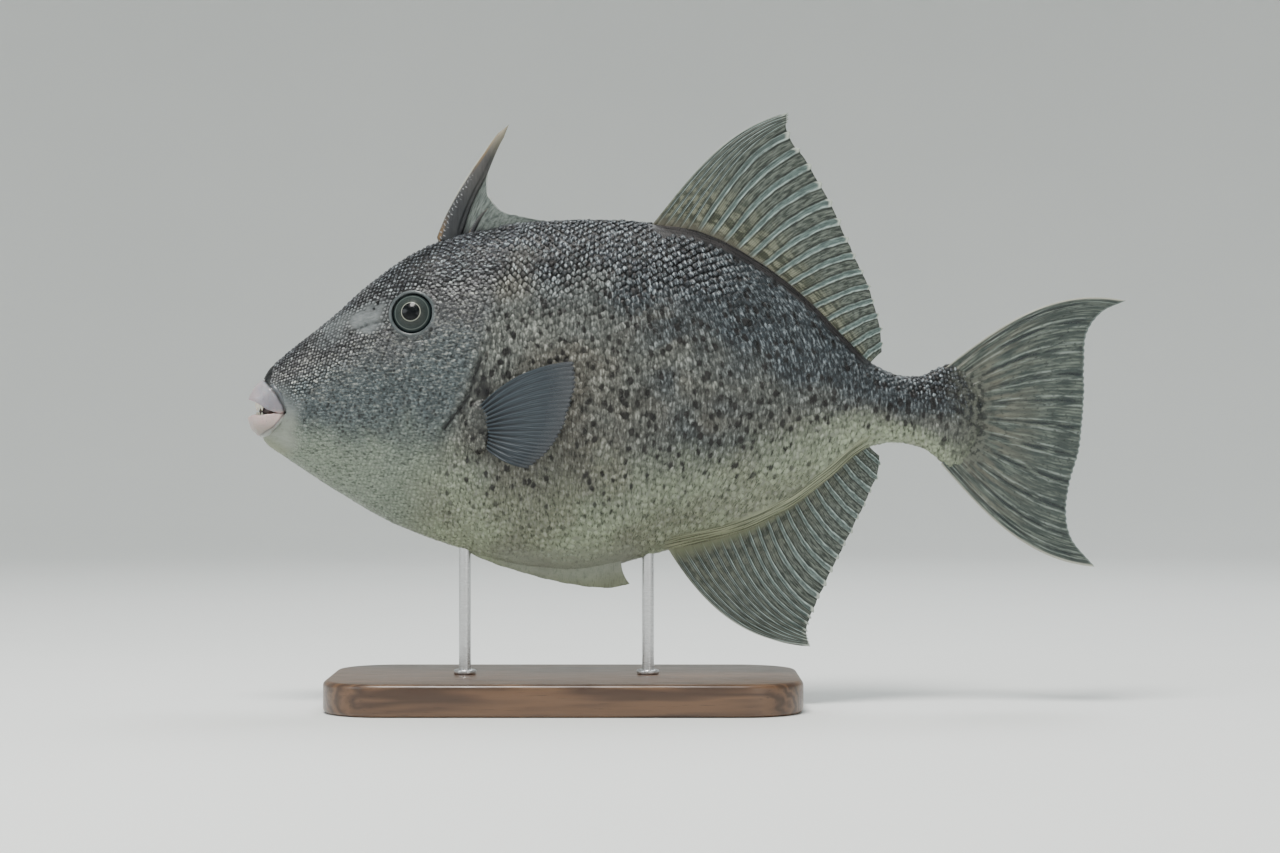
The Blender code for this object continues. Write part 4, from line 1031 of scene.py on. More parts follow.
LIP_NET = 0.00032


def ball_at(name, place, radii, segments=64):
    """A ball pressed to three radii, at a place in the side view."""
    x, z = on_fish(place)
    bpy.ops.mesh.primitive_uv_sphere_add(
        segments=segments, ring_count=segments // 2, radius=1, location=(x, 0, z), scale=radii,
    )
    return new_piece(name)


def stamp(name, outline):
    """A solid as wide as the head, whose outline in the side view is drawn through the given places."""
    rounded = curve_through(on_fish(outline + outline[:1]))(np.linspace(0, 1, 12 * len(outline))[:-1])
    mesh = bpy.data.meshes.new(name)
    mesh.from_pydata([(x, -0.02, z) for x, z in rounded], [], [list(range(len(rounded)))])
    piece = bpy.data.objects.new(name, mesh)
    bpy.context.scene.collection.objects.link(piece)
    pull = {"value": (0, 0.04, 0)}
    edit(piece, lambda face: True, "FACE", lambda: bpy.ops.mesh.extrude_region_move(TRANSFORM_OT_translate=pull))
    edit(piece, lambda face: True, "FACE", lambda: bpy.ops.mesh.normals_make_consistent(inside=False))
    return piece


def carve(piece, tool, operation):
    """Cuts a piece with a tool, and puts the tool away."""
    modify(piece, "BOOLEAN", operation=operation, object=tool, solver="EXACT")
    bpy.data.objects.remove(tool)
    return piece


def lip(name, ball, outline):
    piece = carve(ball_at(name, *ball), stamp("lip_outline", outline), "INTERSECT")
    carve(piece, ball_at("mouth_room", *MOUTH_BALL), "DIFFERENCE")
    modify(piece, "REMESH", mode="VOXEL", voxel_size=LIP_NET, use_smooth_shade=True)
    modify(piece, "SMOOTH", factor=0.5, iterations=9)
    soft = places_of(piece)
    fold = 0.00022 * steady_noise(soft, 0.0045, 21) + 0.00010 * steady_noise(soft * [1, 1, 0.4], 0.0016, 22)
    crease = np.maximum(hill(from_line(soft, LIP_LINE), 0.0007), 0.6 * hill(from_line(soft, CHIN_LINE), 0.0004))
    put_places(piece, soft + normals_of(piece) * (0.0002 + fold - 0.0004 * crease)[:, None])
    # The crease is stored too; the lip finish paints it dark as painted shade.
    put_values(piece, "crease", crease)
    put_values(piece, "behind", ramp(from_line(soft, LIP_LINE + CHIN_LINE[1:]), -0.0004, 0.0006))
    return piece


# %% Lip finish
lip_skin, tree, inputs = new_material("lip_skin", 0.38, Subsurface_Weight=0.25, Subsurface_Scale=0.002)
inputs["Coat Weight"].default_value = 0.3
inputs["Coat Roughness"].default_value = 0.2
place = add(tree, "TexCoord", "Object")
axes = tree.nodes.new("ShaderNodeSeparateXYZ")
tree.links.new(place, axes.inputs["Vector"])
lip_patches = noise(tree, place, 150.0, 5.0, 0.6)
lip_colour = mix(tree, lip_patches, (0.20, 0.195, 0.225), (0.46, 0.44, 0.47))
# Painted shade: the upper lip is darker towards its rear and on its underside near the gape.
lip_colour = mix(tree, step(tree, axes.outputs["X"], -0.2165, -0.2050), lip_colour, mix(tree, lip_patches, (0.115, 0.120, 0.140), (0.30, 0.295, 0.325)))
lip_colour = mix(tree, step(tree, axes.outputs["Z"], MOUTH_Z + 0.011, MOUTH_Z + 0.002, 0.0, 0.50), lip_colour, (0.175, 0.150, 0.180))
# Painted highlight: the tip is painted lighter, tinted with the lip's own pink.
tip_highlight_share = step(tree, axes.outputs["X"], -0.2120, -0.2175, 0.0, 0.55)
lip_colour = mix(tree, tip_highlight_share, lip_colour, (0.44, 0.335, 0.345))
warm_lip = mix(tree, noise(tree, place, 300.0, 4.0), (0.50, 0.42, 0.37), (0.44, 0.32, 0.33))
# Painted shade: the lower lip darkens towards its underside.
warm_lip = mix(tree, step(tree, axes.outputs["Z"], MOUTH_Z - 0.004, MOUTH_Z - 0.012), warm_lip, (0.245, 0.215, 0.185))
lip_colour = mix(tree, step(tree, axes.outputs["Z"], MOUTH_Z + 0.001, MOUTH_Z - 0.003), lip_colour, warm_lip)
hide_colour = mix(tree, step(tree, axes.outputs["Z"], MOUTH_Z + 0.003, MOUTH_Z - 0.006), (0.075, 0.086, 0.096), (0.24, 0.25, 0.225))
lip_colour = mix(tree, stored(tree, "behind"), lip_colour, hide_colour)
freckles = step(tree, noise(tree, place, 1500.0, 3.0), 0.56, 0.70, 0.0, 0.35)
lip_colour = mix(tree, freckles, lip_colour, (0.10, 0.09, 0.10))
# Painted shade in the crease along the lips.
lip_colour = mix(tree, stored(tree, "crease"), lip_colour, (0.012, 0.012, 0.014))
tree.links.new(lip_colour, inputs["Base Color"])
bump(tree, inputs, noise(tree, place, 700.0, 5.0), 0.25, 0.0004)

finish_piece(lip("upper_lip", UPPER_BALL, UPPER_LIP), lip_skin, ["upper_jaw"])
finish_piece(lip("lower_lip", LOWER_BALL, LOWER_LIP), lip_skin, ["lower_jaw"])

# %% Teeth
TEETH_A_JAW = 8
TOOTH_ARC = 0.0056
TOOTH_ARC_MIDDLE = (0.0095, 0.0)

tooth_ivory, tree, inputs = new_material("tooth_ivory", 0.25, Subsurface_Weight=0.2, Subsurface_Scale=0.001)
place = add(tree, "TexCoord", "Object")
tree.links.new(mix(tree, noise(tree, place, 400.0), (0.62, 0.58, 0.46), (0.80, 0.77, 0.68)), inputs["Base Color"])
bump(tree, inputs, noise(tree, place, 900.0), 0.2, 0.0002)

row = []
for pointing in (-1, 1):
    for turn in np.linspace(-1.15, 1.15, TEETH_A_JAW):
        bpy.ops.mesh.primitive_uv_sphere_add(segments=20, ring_count=14, radius=1, scale=(0.0007, 0.00105, 0.0030))
        tooth = new_piece("tooth")
        shape = places_of(tooth)
        chisel = ramp(pointing * shape[:, 2], 0.0002, 0.0030)
        shape[:, 0] *= 1 - 0.55 * chisel
        shape[:, 1] *= 1 - 0.30 * chisel
        put_places(tooth, shape)
        x, z = on_fish(TOOTH_ARC_MIDDLE)
        level = 0.0026 if pointing < 0 else -0.0040
        foot = Vector((x - TOOTH_ARC * math.cos(turn), TOOTH_ARC * math.sin(turn), z + level))
        tooth.data.transform(Matrix.Translation(foot) @ Matrix.Rotation(-turn, 4, "Z"))
        row.append(tooth)
bpy.ops.object.select_all(action="DESELECT")
for tooth in row:
    tooth.select_set(True)
bpy.context.view_layer.objects.active = row[0]
bpy.ops.object.join()
teeth = bpy.context.object
teeth.name = teeth.data.name = "teeth"
teeth.data.shade_smooth()
finish_piece(teeth, tooth_ivory)

# %% [markdown]
# Behind the teeth the mouth is dark and reddish: a little red, kept near black as painted shade for
# the inside of the mouth. A rumpled ball fills it, so that light can't come in from behind.

# %% Mouth lining
mouth_lining, tree, inputs = new_material("mouth_lining", 0.35)
place = add(tree, "TexCoord", "Object")
# Painted shade: the lining is near black with a little red.
tree.links.new(mix(tree, noise(tree, place, 300.0), (0.020, 0.010, 0.009), (0.075, 0.035, 0.028)), inputs["Base Color"])
lining = ball_at("mouth_lining", (0.0125, -0.0006), (0.0074, 0.0062, 0.0042), 48)
rumpled = places_of(lining)
put_places(lining, rumpled + normals_of(lining) * (0.0003 * steady_noise(rumpled, 0.003, 31))[:, None])
lining.data.shade_smooth()
finish_piece(lining, mouth_lining)

# %% [markdown]
# ## Fins
# A fin is a skin stretched over a fan of rays. A flat grid is drawn out from the line where the fin
# leaves the body to the line of its free edge, one bundle of columns to each ray. The sheet is then
# given a thickness, more along the rays and less between them, so that the rays stand out on both faces.
# The rays of the tail branch on their way out, two, four and more times. The rays' tips pass the edge
# a little and differ in length, so that the edge is ragged like a real one.


# %% Helpers for fins
def crest_at(spacing, out, plateau, branching):
    """How much a place belongs to a ray: 1 on it and 0 between rays. Spacing counts rays."""
    off_ray = np.abs(spacing - np.round(spacing))
    crest = 1 - ramp(off_ray, plateau, plateau + 0.14)
    for level, begin in enumerate(branching):
        finer = 0.5 - 0.5 * np.cos(2 * math.pi * 2 ** (level + 1) * spacing)
        crest = blend(crest, finer, ramp(out, begin, begin + 0.22))
    return crest


def in_side_view(places, across, out):
    return np.column_stack([places[:, 0], np.zeros(len(places)), places[:, 1]])


def fin_sheet(name, rays, columns, rows, thickness, bows, root, edge, options=None, in_space=in_side_view):
    """A fin between its root and its edge, with the rays raised on both faces.

    thickness gives the ray and the membrane, at the root and at the edge. bows tells how far the first
    and the last ray arch, as shares of their lengths.
    """
    told = {"plateau": 0.10, "branching": (), "tip": 0.0007, "wave": 0.0, "skew": 0.0, "seed": 1, **(options or {})}
    bpy.ops.mesh.primitive_grid_add(
        x_subdivisions=(rays - 1) * columns, y_subdivisions=rows, size=2, calc_uvs=True,
    )
    sheet = new_piece(name)
    flat = places_of(sheet)
    across, out = (flat[:, 0] + 1) / 2, (flat[:, 1] + 1) / 2
    spacing = across * (rays - 1)
    crest = crest_at(spacing, out, told["plateau"], told["branching"])
    start, end = root(across), edge(across)
    way = (end - start) / np.linalg.norm(end - start, axis=1)[:, None]
    draw = np.random.default_rng(told["seed"])
    uneven = np.interp(spacing, np.arange(0, rays, 0.5), draw.uniform(-0.6, 0.6, 2 * rays)[:2 * rays])
    uneven[(across < 0.02) | (across > 0.98)] = 0
    end = end + way * (told["tip"] * (2 * crest - 1 + uneven))[:, None]
    chord = end - start
    arch = np.column_stack([-chord[:, 1], chord[:, 0]])
    arch = arch * (blend(bows[0], bows[1], across) * 4 * out * (1 - out) * (1 + told["skew"] * (2 * out - 1)))[:, None]
    placed = in_space(start + chord * out[:, None] + arch, across, out)
    placed[:, 1] += told["wave"] * np.sin(9.0 * across + 2.5 * out + told["seed"]) * out
    put_places(sheet, placed)
    (ray_root, ray_edge), (film_root, film_edge) = thickness
    thinning = out ** 0.6
    size = blend(blend(film_root, film_edge, thinning), blend(ray_root, ray_edge, thinning), crest)
    group = sheet.vertex_groups.new(name="thickness")
    for index, share in enumerate(size / ray_root):
        group.add([index], share, "REPLACE")
    modify(sheet, "TRIANGULATE")
    modify(sheet, "SOLIDIFY", thickness=ray_root, offset=0, vertex_group="thickness")
    sheet.vertex_groups.clear()
    sheet.data.shade_smooth()
    return sheet


def along(start, end, ridge_x, ridge_z, sunk):
    """The line of a fin's root on the back or the belly, below the skin."""
    def root(across):
        x = SNOUT_X + blend(start, end, across)
        return np.column_stack([x, np.interp(x, ridge_x, ridge_z) + sunk])
    return root


def spaced(line, at, shares):
    """The same line, with its rays set closer where the shares rise slowly."""
    return lambda across: line(np.interp(across, at, shares))


# %% [markdown]
# The colour of a fin follows its rays too. One node group turns the place across and out along a fin
# into the lines of its rays, with the same branching as the sheet, and every fin uses it.

# %% Node group: fin rays
fin_rays, given, result = new_group(
    "fin_rays",
    [("Across", "Float", 0.0), ("Out", "Float", 0.0), ("Rays", "Float", 20.0), ("Branching", "Float", 0.0),
     ("Plateau", "Float", 0.1)],
    [("Crest", "Float"), ("Line", "Float"), ("Seam", "Float"), ("Side", "Float"), ("Fine", "Float"), ("Number", "Float")],
)
tree = fin_rays
spacing = maths(tree, "MULTIPLY", given["Across"], maths(tree, "SUBTRACT", given["Rays"], 1.0))
drift_place = add(tree, "CombineXYZ", X=spacing, Y=maths(tree, "MULTIPLY", given["Out"], 2.5))
drift = maths(tree, "SUBTRACT", noise(tree, drift_place, 1.3, 2.0), 0.5)
spacing = maths(tree, "ADD", spacing, maths(tree, "MULTIPLY", drift, 0.22))
nearest = maths(tree, "ROUND", spacing)
off_ray = maths(tree, "ABSOLUTE", maths(tree, "SUBTRACT", spacing, nearest))
widening = maths(tree, "MULTIPLY", given["Out"], maths(tree, "MULTIPLY", given["Plateau"], -0.14))
plateau = maths(tree, "ADD", given["Plateau"], widening)
crest = step(tree, off_ray, maths(tree, "ADD", plateau, 0.12), plateau)
for level, begin in ((1, 0.10), (2, 0.34), (3, 0.60)):
    swing = maths(tree, "COSINE", maths(tree, "MULTIPLY", spacing, 2 * math.pi * 2 ** level))
    finer = maths(tree, "MULTIPLY_ADD", swing, -0.5)
    finer.node.inputs[2].default_value = 0.5
    share = maths(tree, "MULTIPLY", step(tree, given["Out"], begin, begin + 0.22), given["Branching"])
    more = maths(tree, "MULTIPLY", finer, share)
    crest = maths(tree, "ADD", maths(tree, "MULTIPLY", crest, maths(tree, "SUBTRACT", 1.0, share)), more)
fine_swing = maths(tree, "COSINE", maths(tree, "MULTIPLY", spacing, 2 * math.pi * 7))
off_edge = maths(tree, "ABSOLUTE", maths(tree, "SUBTRACT", off_ray, maths(tree, "ADD", plateau, 0.08)))
tree.links.new(crest, result["Crest"])
tree.links.new(step(tree, off_edge, 0.055, 0.015), result["Line"])
off_seam = maths(tree, "ABSOLUTE", maths(tree, "SUBTRACT", off_ray, maths(tree, "SUBTRACT", plateau, 0.03)))
tree.links.new(step(tree, off_seam, 0.075, 0.015), result["Seam"])
tree.links.new(maths(tree, "SUBTRACT", spacing, nearest), result["Side"])
tree.links.new(maths(tree, "MULTIPLY", maths(tree, "ADD", fine_swing, 1.0), 0.5), result["Fine"])
tree.links.new(nearest, result["Number"])


def fin_start(name, rays, branching, plateau, roughness):
    """A fin's material with the place on the fin, and its ray pattern."""
    material, tree, inputs = new_material(name, roughness, Specular_IOR_Level=0.3)
    place = tree.nodes.new("ShaderNodeSeparateXYZ")
    tree.links.new(add(tree, "UVMap", "UV", {"uv_map": "UVMap"}), place.inputs["Vector"])
    across, out = place.outputs["X"], place.outputs["Y"]
    lines = use_group(
        tree, fin_rays, None, Across=across, Out=out, Rays=float(rays), Branching=branching, Plateau=plateau,
    )
    return material, tree, inputs, across, out, lines


def see_through(tree, inputs, solid, thin):
    """Lets some light pass where the fin is thin."""
    tree.links.new(step(tree, solid, 0.0, 1.0, thin, 1.0), inputs["Alpha"])


# %% [markdown]
# ### Back fin and belly fin
# Both soft fins show the same bands: a dull brown-grey band along each ray, blotched with beige and
# olive near the body, and a pale blue-green band of thin skin between two rays, with a white line on
# either side. Their leading edge is white and their tips end in white points.


# %% Soft fins
def soft_fin_material(name, rays, plateau, blotchy, clear, base_tint):
    material, tree, inputs, across, out, lines = fin_start(name, rays, 0.0, plateau, 0.42)
    grid = add(tree, "CombineXYZ", X=maths(tree, "MULTIPLY", across, rays * 0.9), Y=maths(tree, "MULTIPLY", out, 17.0))
    blotch = step(tree, noise(tree, grid, 1.0, 3.0, 0.6), 0.40, 0.62)
    long_grid = add(tree, "CombineXYZ", X=maths(tree, "MULTIPLY", across, rays * 7.0), Y=maths(tree, "MULTIPLY", out, 9.0))
    long_streak = noise(tree, long_grid, 1.0, 3.0, 0.6)
    ray_colour = mix(tree, step(tree, long_streak, 0.35, 0.65), (0.024, 0.032, 0.028), (0.136, 0.156, 0.134))
    near_body = maths(tree, "MULTIPLY", step(tree, out, 0.62, 0.12), blotchy)
    beige = mix(tree, blotch, (0.032, 0.036, 0.022), (0.190, 0.196, 0.140))
    ray_colour = mix(tree, near_body, ray_colour, beige)
    film = mix(tree, step(tree, long_streak, 0.30, 0.70), (0.048, 0.073, 0.069), (0.130, 0.184, 0.172))
    front_dark = step(tree, across, 0.40, 0.20, 0.0, 0.80)
    film = mix(tree, front_dark, film, (0.040, 0.050, 0.046))
    each_ray = add(tree, "TexWhiteNoise", "Value", {"noise_dimensions": "1D"}, W=lines["Number"])
    film = mix(tree, step(tree, each_ray, 0.4, 1.0, 0.0, 0.50), film, (0.040, 0.060, 0.056))
    film = mix(tree, clear, ray_colour, film)
    colour = mix(tree, lines["Crest"], film, ray_colour)
    streaky = step(tree, long_streak, 0.30, 0.70, 0.2, 1.0)
    colour = mix(tree, maths(tree, "MULTIPLY", lines["Seam"], 0.72), colour, (0.013, 0.017, 0.015))
    white = maths(tree, "MULTIPLY", lines["Line"], streaky)
    white = maths(tree, "MULTIPLY", white, step(tree, lines["Side"], 0.02, -0.02, 0.35, 0.95))
    colour = mix(tree, white, colour, (0.36, 0.45, 0.43))
    fine = maths(tree, "MULTIPLY", lines["Fine"], lines["Crest"])
    colour = mix(tree, maths(tree, "MULTIPLY", fine, 0.35), colour, (0.012, 0.012, 0.010))
    colour = mix(tree, step(tree, out, 0.16, 0.05), colour, base_tint)
    front = maths(tree, "MULTIPLY", step(tree, across, 0.016, 0.005), step(tree, out, 0.15, 0.75, 0.10, 0.75))
    tips = maths(tree, "MULTIPLY", step(tree, out, 0.955, 0.985), maths(tree, "SUBTRACT", 1.0, lines["Crest"]))
    colour = mix(tree, maths(tree, "MAXIMUM", front, tips), colour, (0.46, 0.50, 0.44))
    tree.links.new(colour, inputs["Base Color"])
    see_through(tree, inputs, maths(tree, "MAXIMUM", lines["Crest"], step(tree, out, 0.2, 0.05)), 0.80)
    joints = add(tree, "CombineXYZ", X=lines["Number"], Y=maths(tree, "MULTIPLY", out, 46.0))
    bump(tree, inputs, maths(tree, "ADD", noise(tree, joints, 2.0, 2.0), lines["Fine"]), 0.35, 0.0003)
    return material


SOFT_DORSAL_EDGE = [
    (0.2692, 0.1485), (0.2690, 0.1412), (0.2715, 0.1350), (0.2776, 0.1272), (0.2904, 0.1049),
    (0.3024, 0.0790), (0.3100, 0.0615), (0.3157, 0.0430), (0.3168, 0.0295),
]
ANAL_EDGE = [
    (0.2800, -0.1178), (0.2790, -0.1115), (0.2812, -0.1030), (0.2888, -0.0861), (0.2974, -0.0683),
    (0.3100, -0.0428), (0.3155, -0.0285), (0.3156, -0.0232),
]
DORSAL_RAYS = 20
ANAL_RAYS = 22
soft_film = ((0.0021, 0.0008), (0.0014, 0.0005))
dorsal = fin_sheet(
    "soft_dorsal", DORSAL_RAYS, 13, 44, soft_film, (0.086, 0.030),
    spaced(along(0.1985, 0.3085, outline_x, outline_back, -0.0045), [0, 0.26, 1], [0, 0.18, 1]),
    spaced(curve_through(on_fish(SOFT_DORSAL_EDGE)), [0, 0.26, 0.37, 0.58, 0.74, 1], [0, 0.04, 0.19, 0.51, 0.72, 1]),
    {"plateau": 0.32, "wave": 0.0009, "tip": -0.0007, "skew": 0.5, "seed": 2},
)
dorsal_film = soft_fin_material("dorsal_film", DORSAL_RAYS, 0.32, 1.0, 1.0, (0.085, 0.080, 0.060))
finish_piece(dorsal, dorsal_film, ["soft_dorsal_fin"])
anal = fin_sheet(
    "anal_fin_sheet", ANAL_RAYS, 12, 44, soft_film, (-0.138, -0.030),
    along(0.2075, 0.3075, outline_x, outline_belly, 0.0045),
    spaced(curve_through(on_fish(ANAL_EDGE)), [0, 0.14, 0.29, 0.45, 1], [0, 0.015, 0.06, 0.17, 1]),
    {"plateau": 0.32, "wave": 0.0009, "tip": -0.0006, "skew": 0.2, "seed": 3},
)
anal_film = soft_fin_material("anal_film", ANAL_RAYS, 0.32, 0.45, 0.75, (0.150, 0.160, 0.100))
finish_piece(anal, anal_film, ["anal_fin"])

# %% [markdown]
# ### Tail fin
# Twelve strong rays leave the stalk and branch three times, so that nearly a hundred fine lines reach
# the edge. The whole is grey-olive, warmer at the root, with a pale leading edge above and below.

# %% Tail fin
TAIL_RAYS = 12
TAIL_ROOT = [(0.3460, 0.0195), (0.3540, 0.0110), (0.3570, -0.0035), (0.3540, -0.0180), (0.3460, -0.0270)]
TAIL_EDGE = [
    (0.4386, 0.0548), (0.4262, 0.0488), (0.4192, 0.0390), (0.4175, 0.0240), (0.4173, 0.0088),
    (0.4162, -0.0065), (0.4147, -0.0198), (0.4110, -0.0330), (0.4085, -0.0500), (0.4106, -0.0627),
    (0.4229, -0.0785),
]
tail = fin_sheet(
    "tail_fan", TAIL_RAYS, 28, 44, ((0.0032, 0.0008), (0.0024, 0.0005)), (0.118, -0.102),
    curve_through(on_fish(TAIL_ROOT)), curve_through(on_fish(TAIL_EDGE)),
    {"plateau": 0.16, "branching": (0.10, 0.34), "tip": 0.00022, "wave": 0.0012, "skew": 0.35, "seed": 4},
)
tail_film, tree, inputs, across, out, lines = fin_start("tail_film", TAIL_RAYS, 1.0, 0.16, 0.42)
grid = add(tree, "CombineXYZ", X=maths(tree, "MULTIPLY", across, 70.0), Y=maths(tree, "MULTIPLY", out, 5.0))
streak = noise(tree, grid, 1.0, 4.0, 0.65)
broad = add(tree, "CombineXYZ", X=maths(tree, "MULTIPLY", across, 22.0), Y=maths(tree, "MULTIPLY", out, 3.0))
bands = noise(tree, broad, 1.0, 2.0)
ray_colour = mix(tree, step(tree, streak, 0.36, 0.64), (0.024, 0.031, 0.027), (0.130, 0.152, 0.128))
gap_colour = mix(tree, bands, (0.014, 0.022, 0.022), (0.062, 0.082, 0.077))
seen = maths(tree, "MULTIPLY", lines["Crest"], 0.55)
seen = maths(tree, "ADD", seen, step(tree, streak, 0.35, 0.65, 0.0, 0.45), True)
colour = mix(tree, seen, gap_colour, ray_colour)
warm = maths(tree, "MULTIPLY", step(tree, out, 0.85, 0.1), step(tree, bands, 0.42, 0.60))
colour = mix(tree, maths(tree, "MULTIPLY", warm, 0.55), colour, (0.158, 0.144, 0.108))
bundle = maths(tree, "FRACT", maths(tree, "MULTIPLY", across, TAIL_RAYS - 1.0))
from_gap = maths(tree, "ABSOLUTE", maths(tree, "SUBTRACT", bundle, 0.5))
beside_gap = maths(tree, "ABSOLUTE", maths(tree, "SUBTRACT", from_gap, 0.17))
pale_line = maths(tree, "MULTIPLY", step(tree, beside_gap, 0.07, 0.01), step(tree, streak, 0.40, 0.62))
colour = mix(tree, maths(tree, "MULTIPLY", pale_line, 0.66), colour, (0.225, 0.262, 0.240))
gap_line = maths(tree, "MULTIPLY", step(tree, from_gap, 0.13, 0.02), step(tree, streak, 0.66, 0.44))
colour = mix(tree, maths(tree, "MULTIPLY", gap_line, 0.85), colour, (0.012, 0.018, 0.020))
dashes = add(tree, "CombineXYZ", X=maths(tree, "MULTIPLY", across, 90.0), Y=maths(tree, "MULTIPLY", out, 26.0))
colour = mix(tree, maths(tree, "MULTIPLY", step(tree, noise(tree, dashes, 1.0), 0.56, 0.68), 0.7), colour, (0.02, 0.025, 0.024))
margin = maths(tree, "MAXIMUM", step(tree, across, 0.016, 0.003), step(tree, across, 0.984, 0.997))
colour = mix(tree, margin, colour, (0.40, 0.40, 0.34))
colour = mix(tree, step(tree, out, 0.985, 1.0, 0.0, 0.6), colour, (0.30, 0.36, 0.34))
root_colour = use_group(tree, tail_root, None, Place=add(tree, "TexCoord", "Object"))["Color"]
off_middle = maths(tree, "ABSOLUTE", maths(tree, "SUBTRACT", across, 0.5))
root_share = maths(tree, "MULTIPLY", step(tree, out, 0.34, 0.12), step(tree, off_middle, 0.22, 0.42, 1.0, 0.25))
colour = mix(tree, root_share, colour, root_colour)
tree.links.new(colour, inputs["Base Color"])
see_through(tree, inputs, maths(tree, "MAXIMUM", lines["Crest"], step(tree, out, 0.4, 0.1)), 0.86)
bump(tree, inputs, maths(tree, "ADD", lines["Crest"], streak), 0.4, 0.0003)
finish_piece(tail, tail_film, ["tail_fin_upper", "tail_fin_lower"])

# %% [markdown]
# ### Side fins
# The side fins are slate blue, a small fan that stands out from the flank and is cupped towards it.
# They grow from the scaly lobe that was sculpted into the skin.

# %% Side fins
PECTORAL_RAYS = 14
PECTORAL_ROOT = [(0.1165, 0.0010), (0.1200, -0.0060), (0.1215, -0.0130), (0.1205, -0.0190)]
PECTORAL_EDGE = [
    (0.1628, 0.0235), (0.1640, 0.0120), (0.1612, 0.0020), (0.1575, -0.0090), (0.1510, -0.0197),
    (0.1400, -0.0288),
]
PECTORAL_OUT = math.radians(17)
PECTORAL_CUP = 0.0030

flank_y = -skin_tree.ray_cast(Vector((PECTORAL_LOBE[0], -BEYOND, PECTORAL_LOBE[1])), Vector((0, 1, 0)))[0].y
print("the side fins start", round(flank_y * 1000, 1), "mm off the middle")


def beside_flank(side):
    def in_space(places, across, out):
        reach = places[:, 0] - PECTORAL_LOBE[0]
        cup = PECTORAL_CUP * 4 * across * (1 - across) * out
        return np.column_stack([places[:, 0], side * (flank_y - 0.002 + reach * math.tan(PECTORAL_OUT) + cup), places[:, 1]])
    return in_space


slate_film, tree, inputs, across, out, lines = fin_start("slate_film", PECTORAL_RAYS, 0.6, 0.14, 0.40)
grid = add(tree, "CombineXYZ", X=maths(tree, "MULTIPLY", across, 60.0), Y=maths(tree, "MULTIPLY", out, 4.0))
streak = noise(tree, grid, 1.0, 4.0, 0.6)
ray_colour = mix(tree, streak, (0.022, 0.031, 0.040), (0.056, 0.072, 0.086))
colour = mix(tree, lines["Crest"], mix(tree, out, (0.004, 0.006, 0.009), (0.026, 0.032, 0.039)), ray_colour)
colour = mix(tree, step(tree, out, 0.70, 1.0, 0.0, 0.55), colour, (0.056, 0.058, 0.064))
tree.links.new(colour, inputs["Base Color"])
see_through(tree, inputs, maths(tree, "MAXIMUM", lines["Crest"], step(tree, out, 0.9, 0.5)), 0.80)
bump(tree, inputs, maths(tree, "ADD", lines["Crest"], streak), 0.5, 0.0004)

for word, side in (("left", -1), ("right", 1)):
    fan = fin_sheet(
        f"side_fan_{word}", PECTORAL_RAYS, 16, 32, ((0.0020, 0.0007), (0.0010, 0.0004)), (0.100, -0.080),
        curve_through(on_fish(PECTORAL_ROOT)), curve_through(on_fish(PECTORAL_EDGE)),
        {"plateau": 0.14, "branching": (0.45,), "tip": 0.0005, "seed": 5}, beside_flank(side),
    )
    finish_piece(fan, slate_film, [f"pectoral_fin_{word}"])

# %% [markdown]
# ## Trigger spine
# The first spine of the back is a long stout thorn, flattened from side to side, that locks upright. Its
# front is rough with small beads low down and edged with gold above, and its rear is grooved. Behind it
# stand a second thin spine and two small sails of clear skin.

# %% Thorns
SPINE_LINE = [
    (0.0972, 0.0780), (0.1007, 0.0877), (0.1028, 0.0936), (0.1061, 0.1016), (0.1101, 0.1096),
    (0.1147, 0.1176), (0.1191, 0.1256), (0.1237, 0.1338), (0.1300, 0.1428),
]
SPINE_RADII = [0.0060, 0.0059, 0.0055, 0.0047, 0.0041, 0.0038, 0.0027, 0.0019, 0.0012]
SPINE_FLATNESS = 0.66
SECOND_LINE = [(0.1098, 0.0850), (0.1120, 0.0900), (0.1157, 0.0965), (0.1222, 0.1038)]
SECOND_RADII = [0.0015, 0.0013, 0.0009, 0.0004]


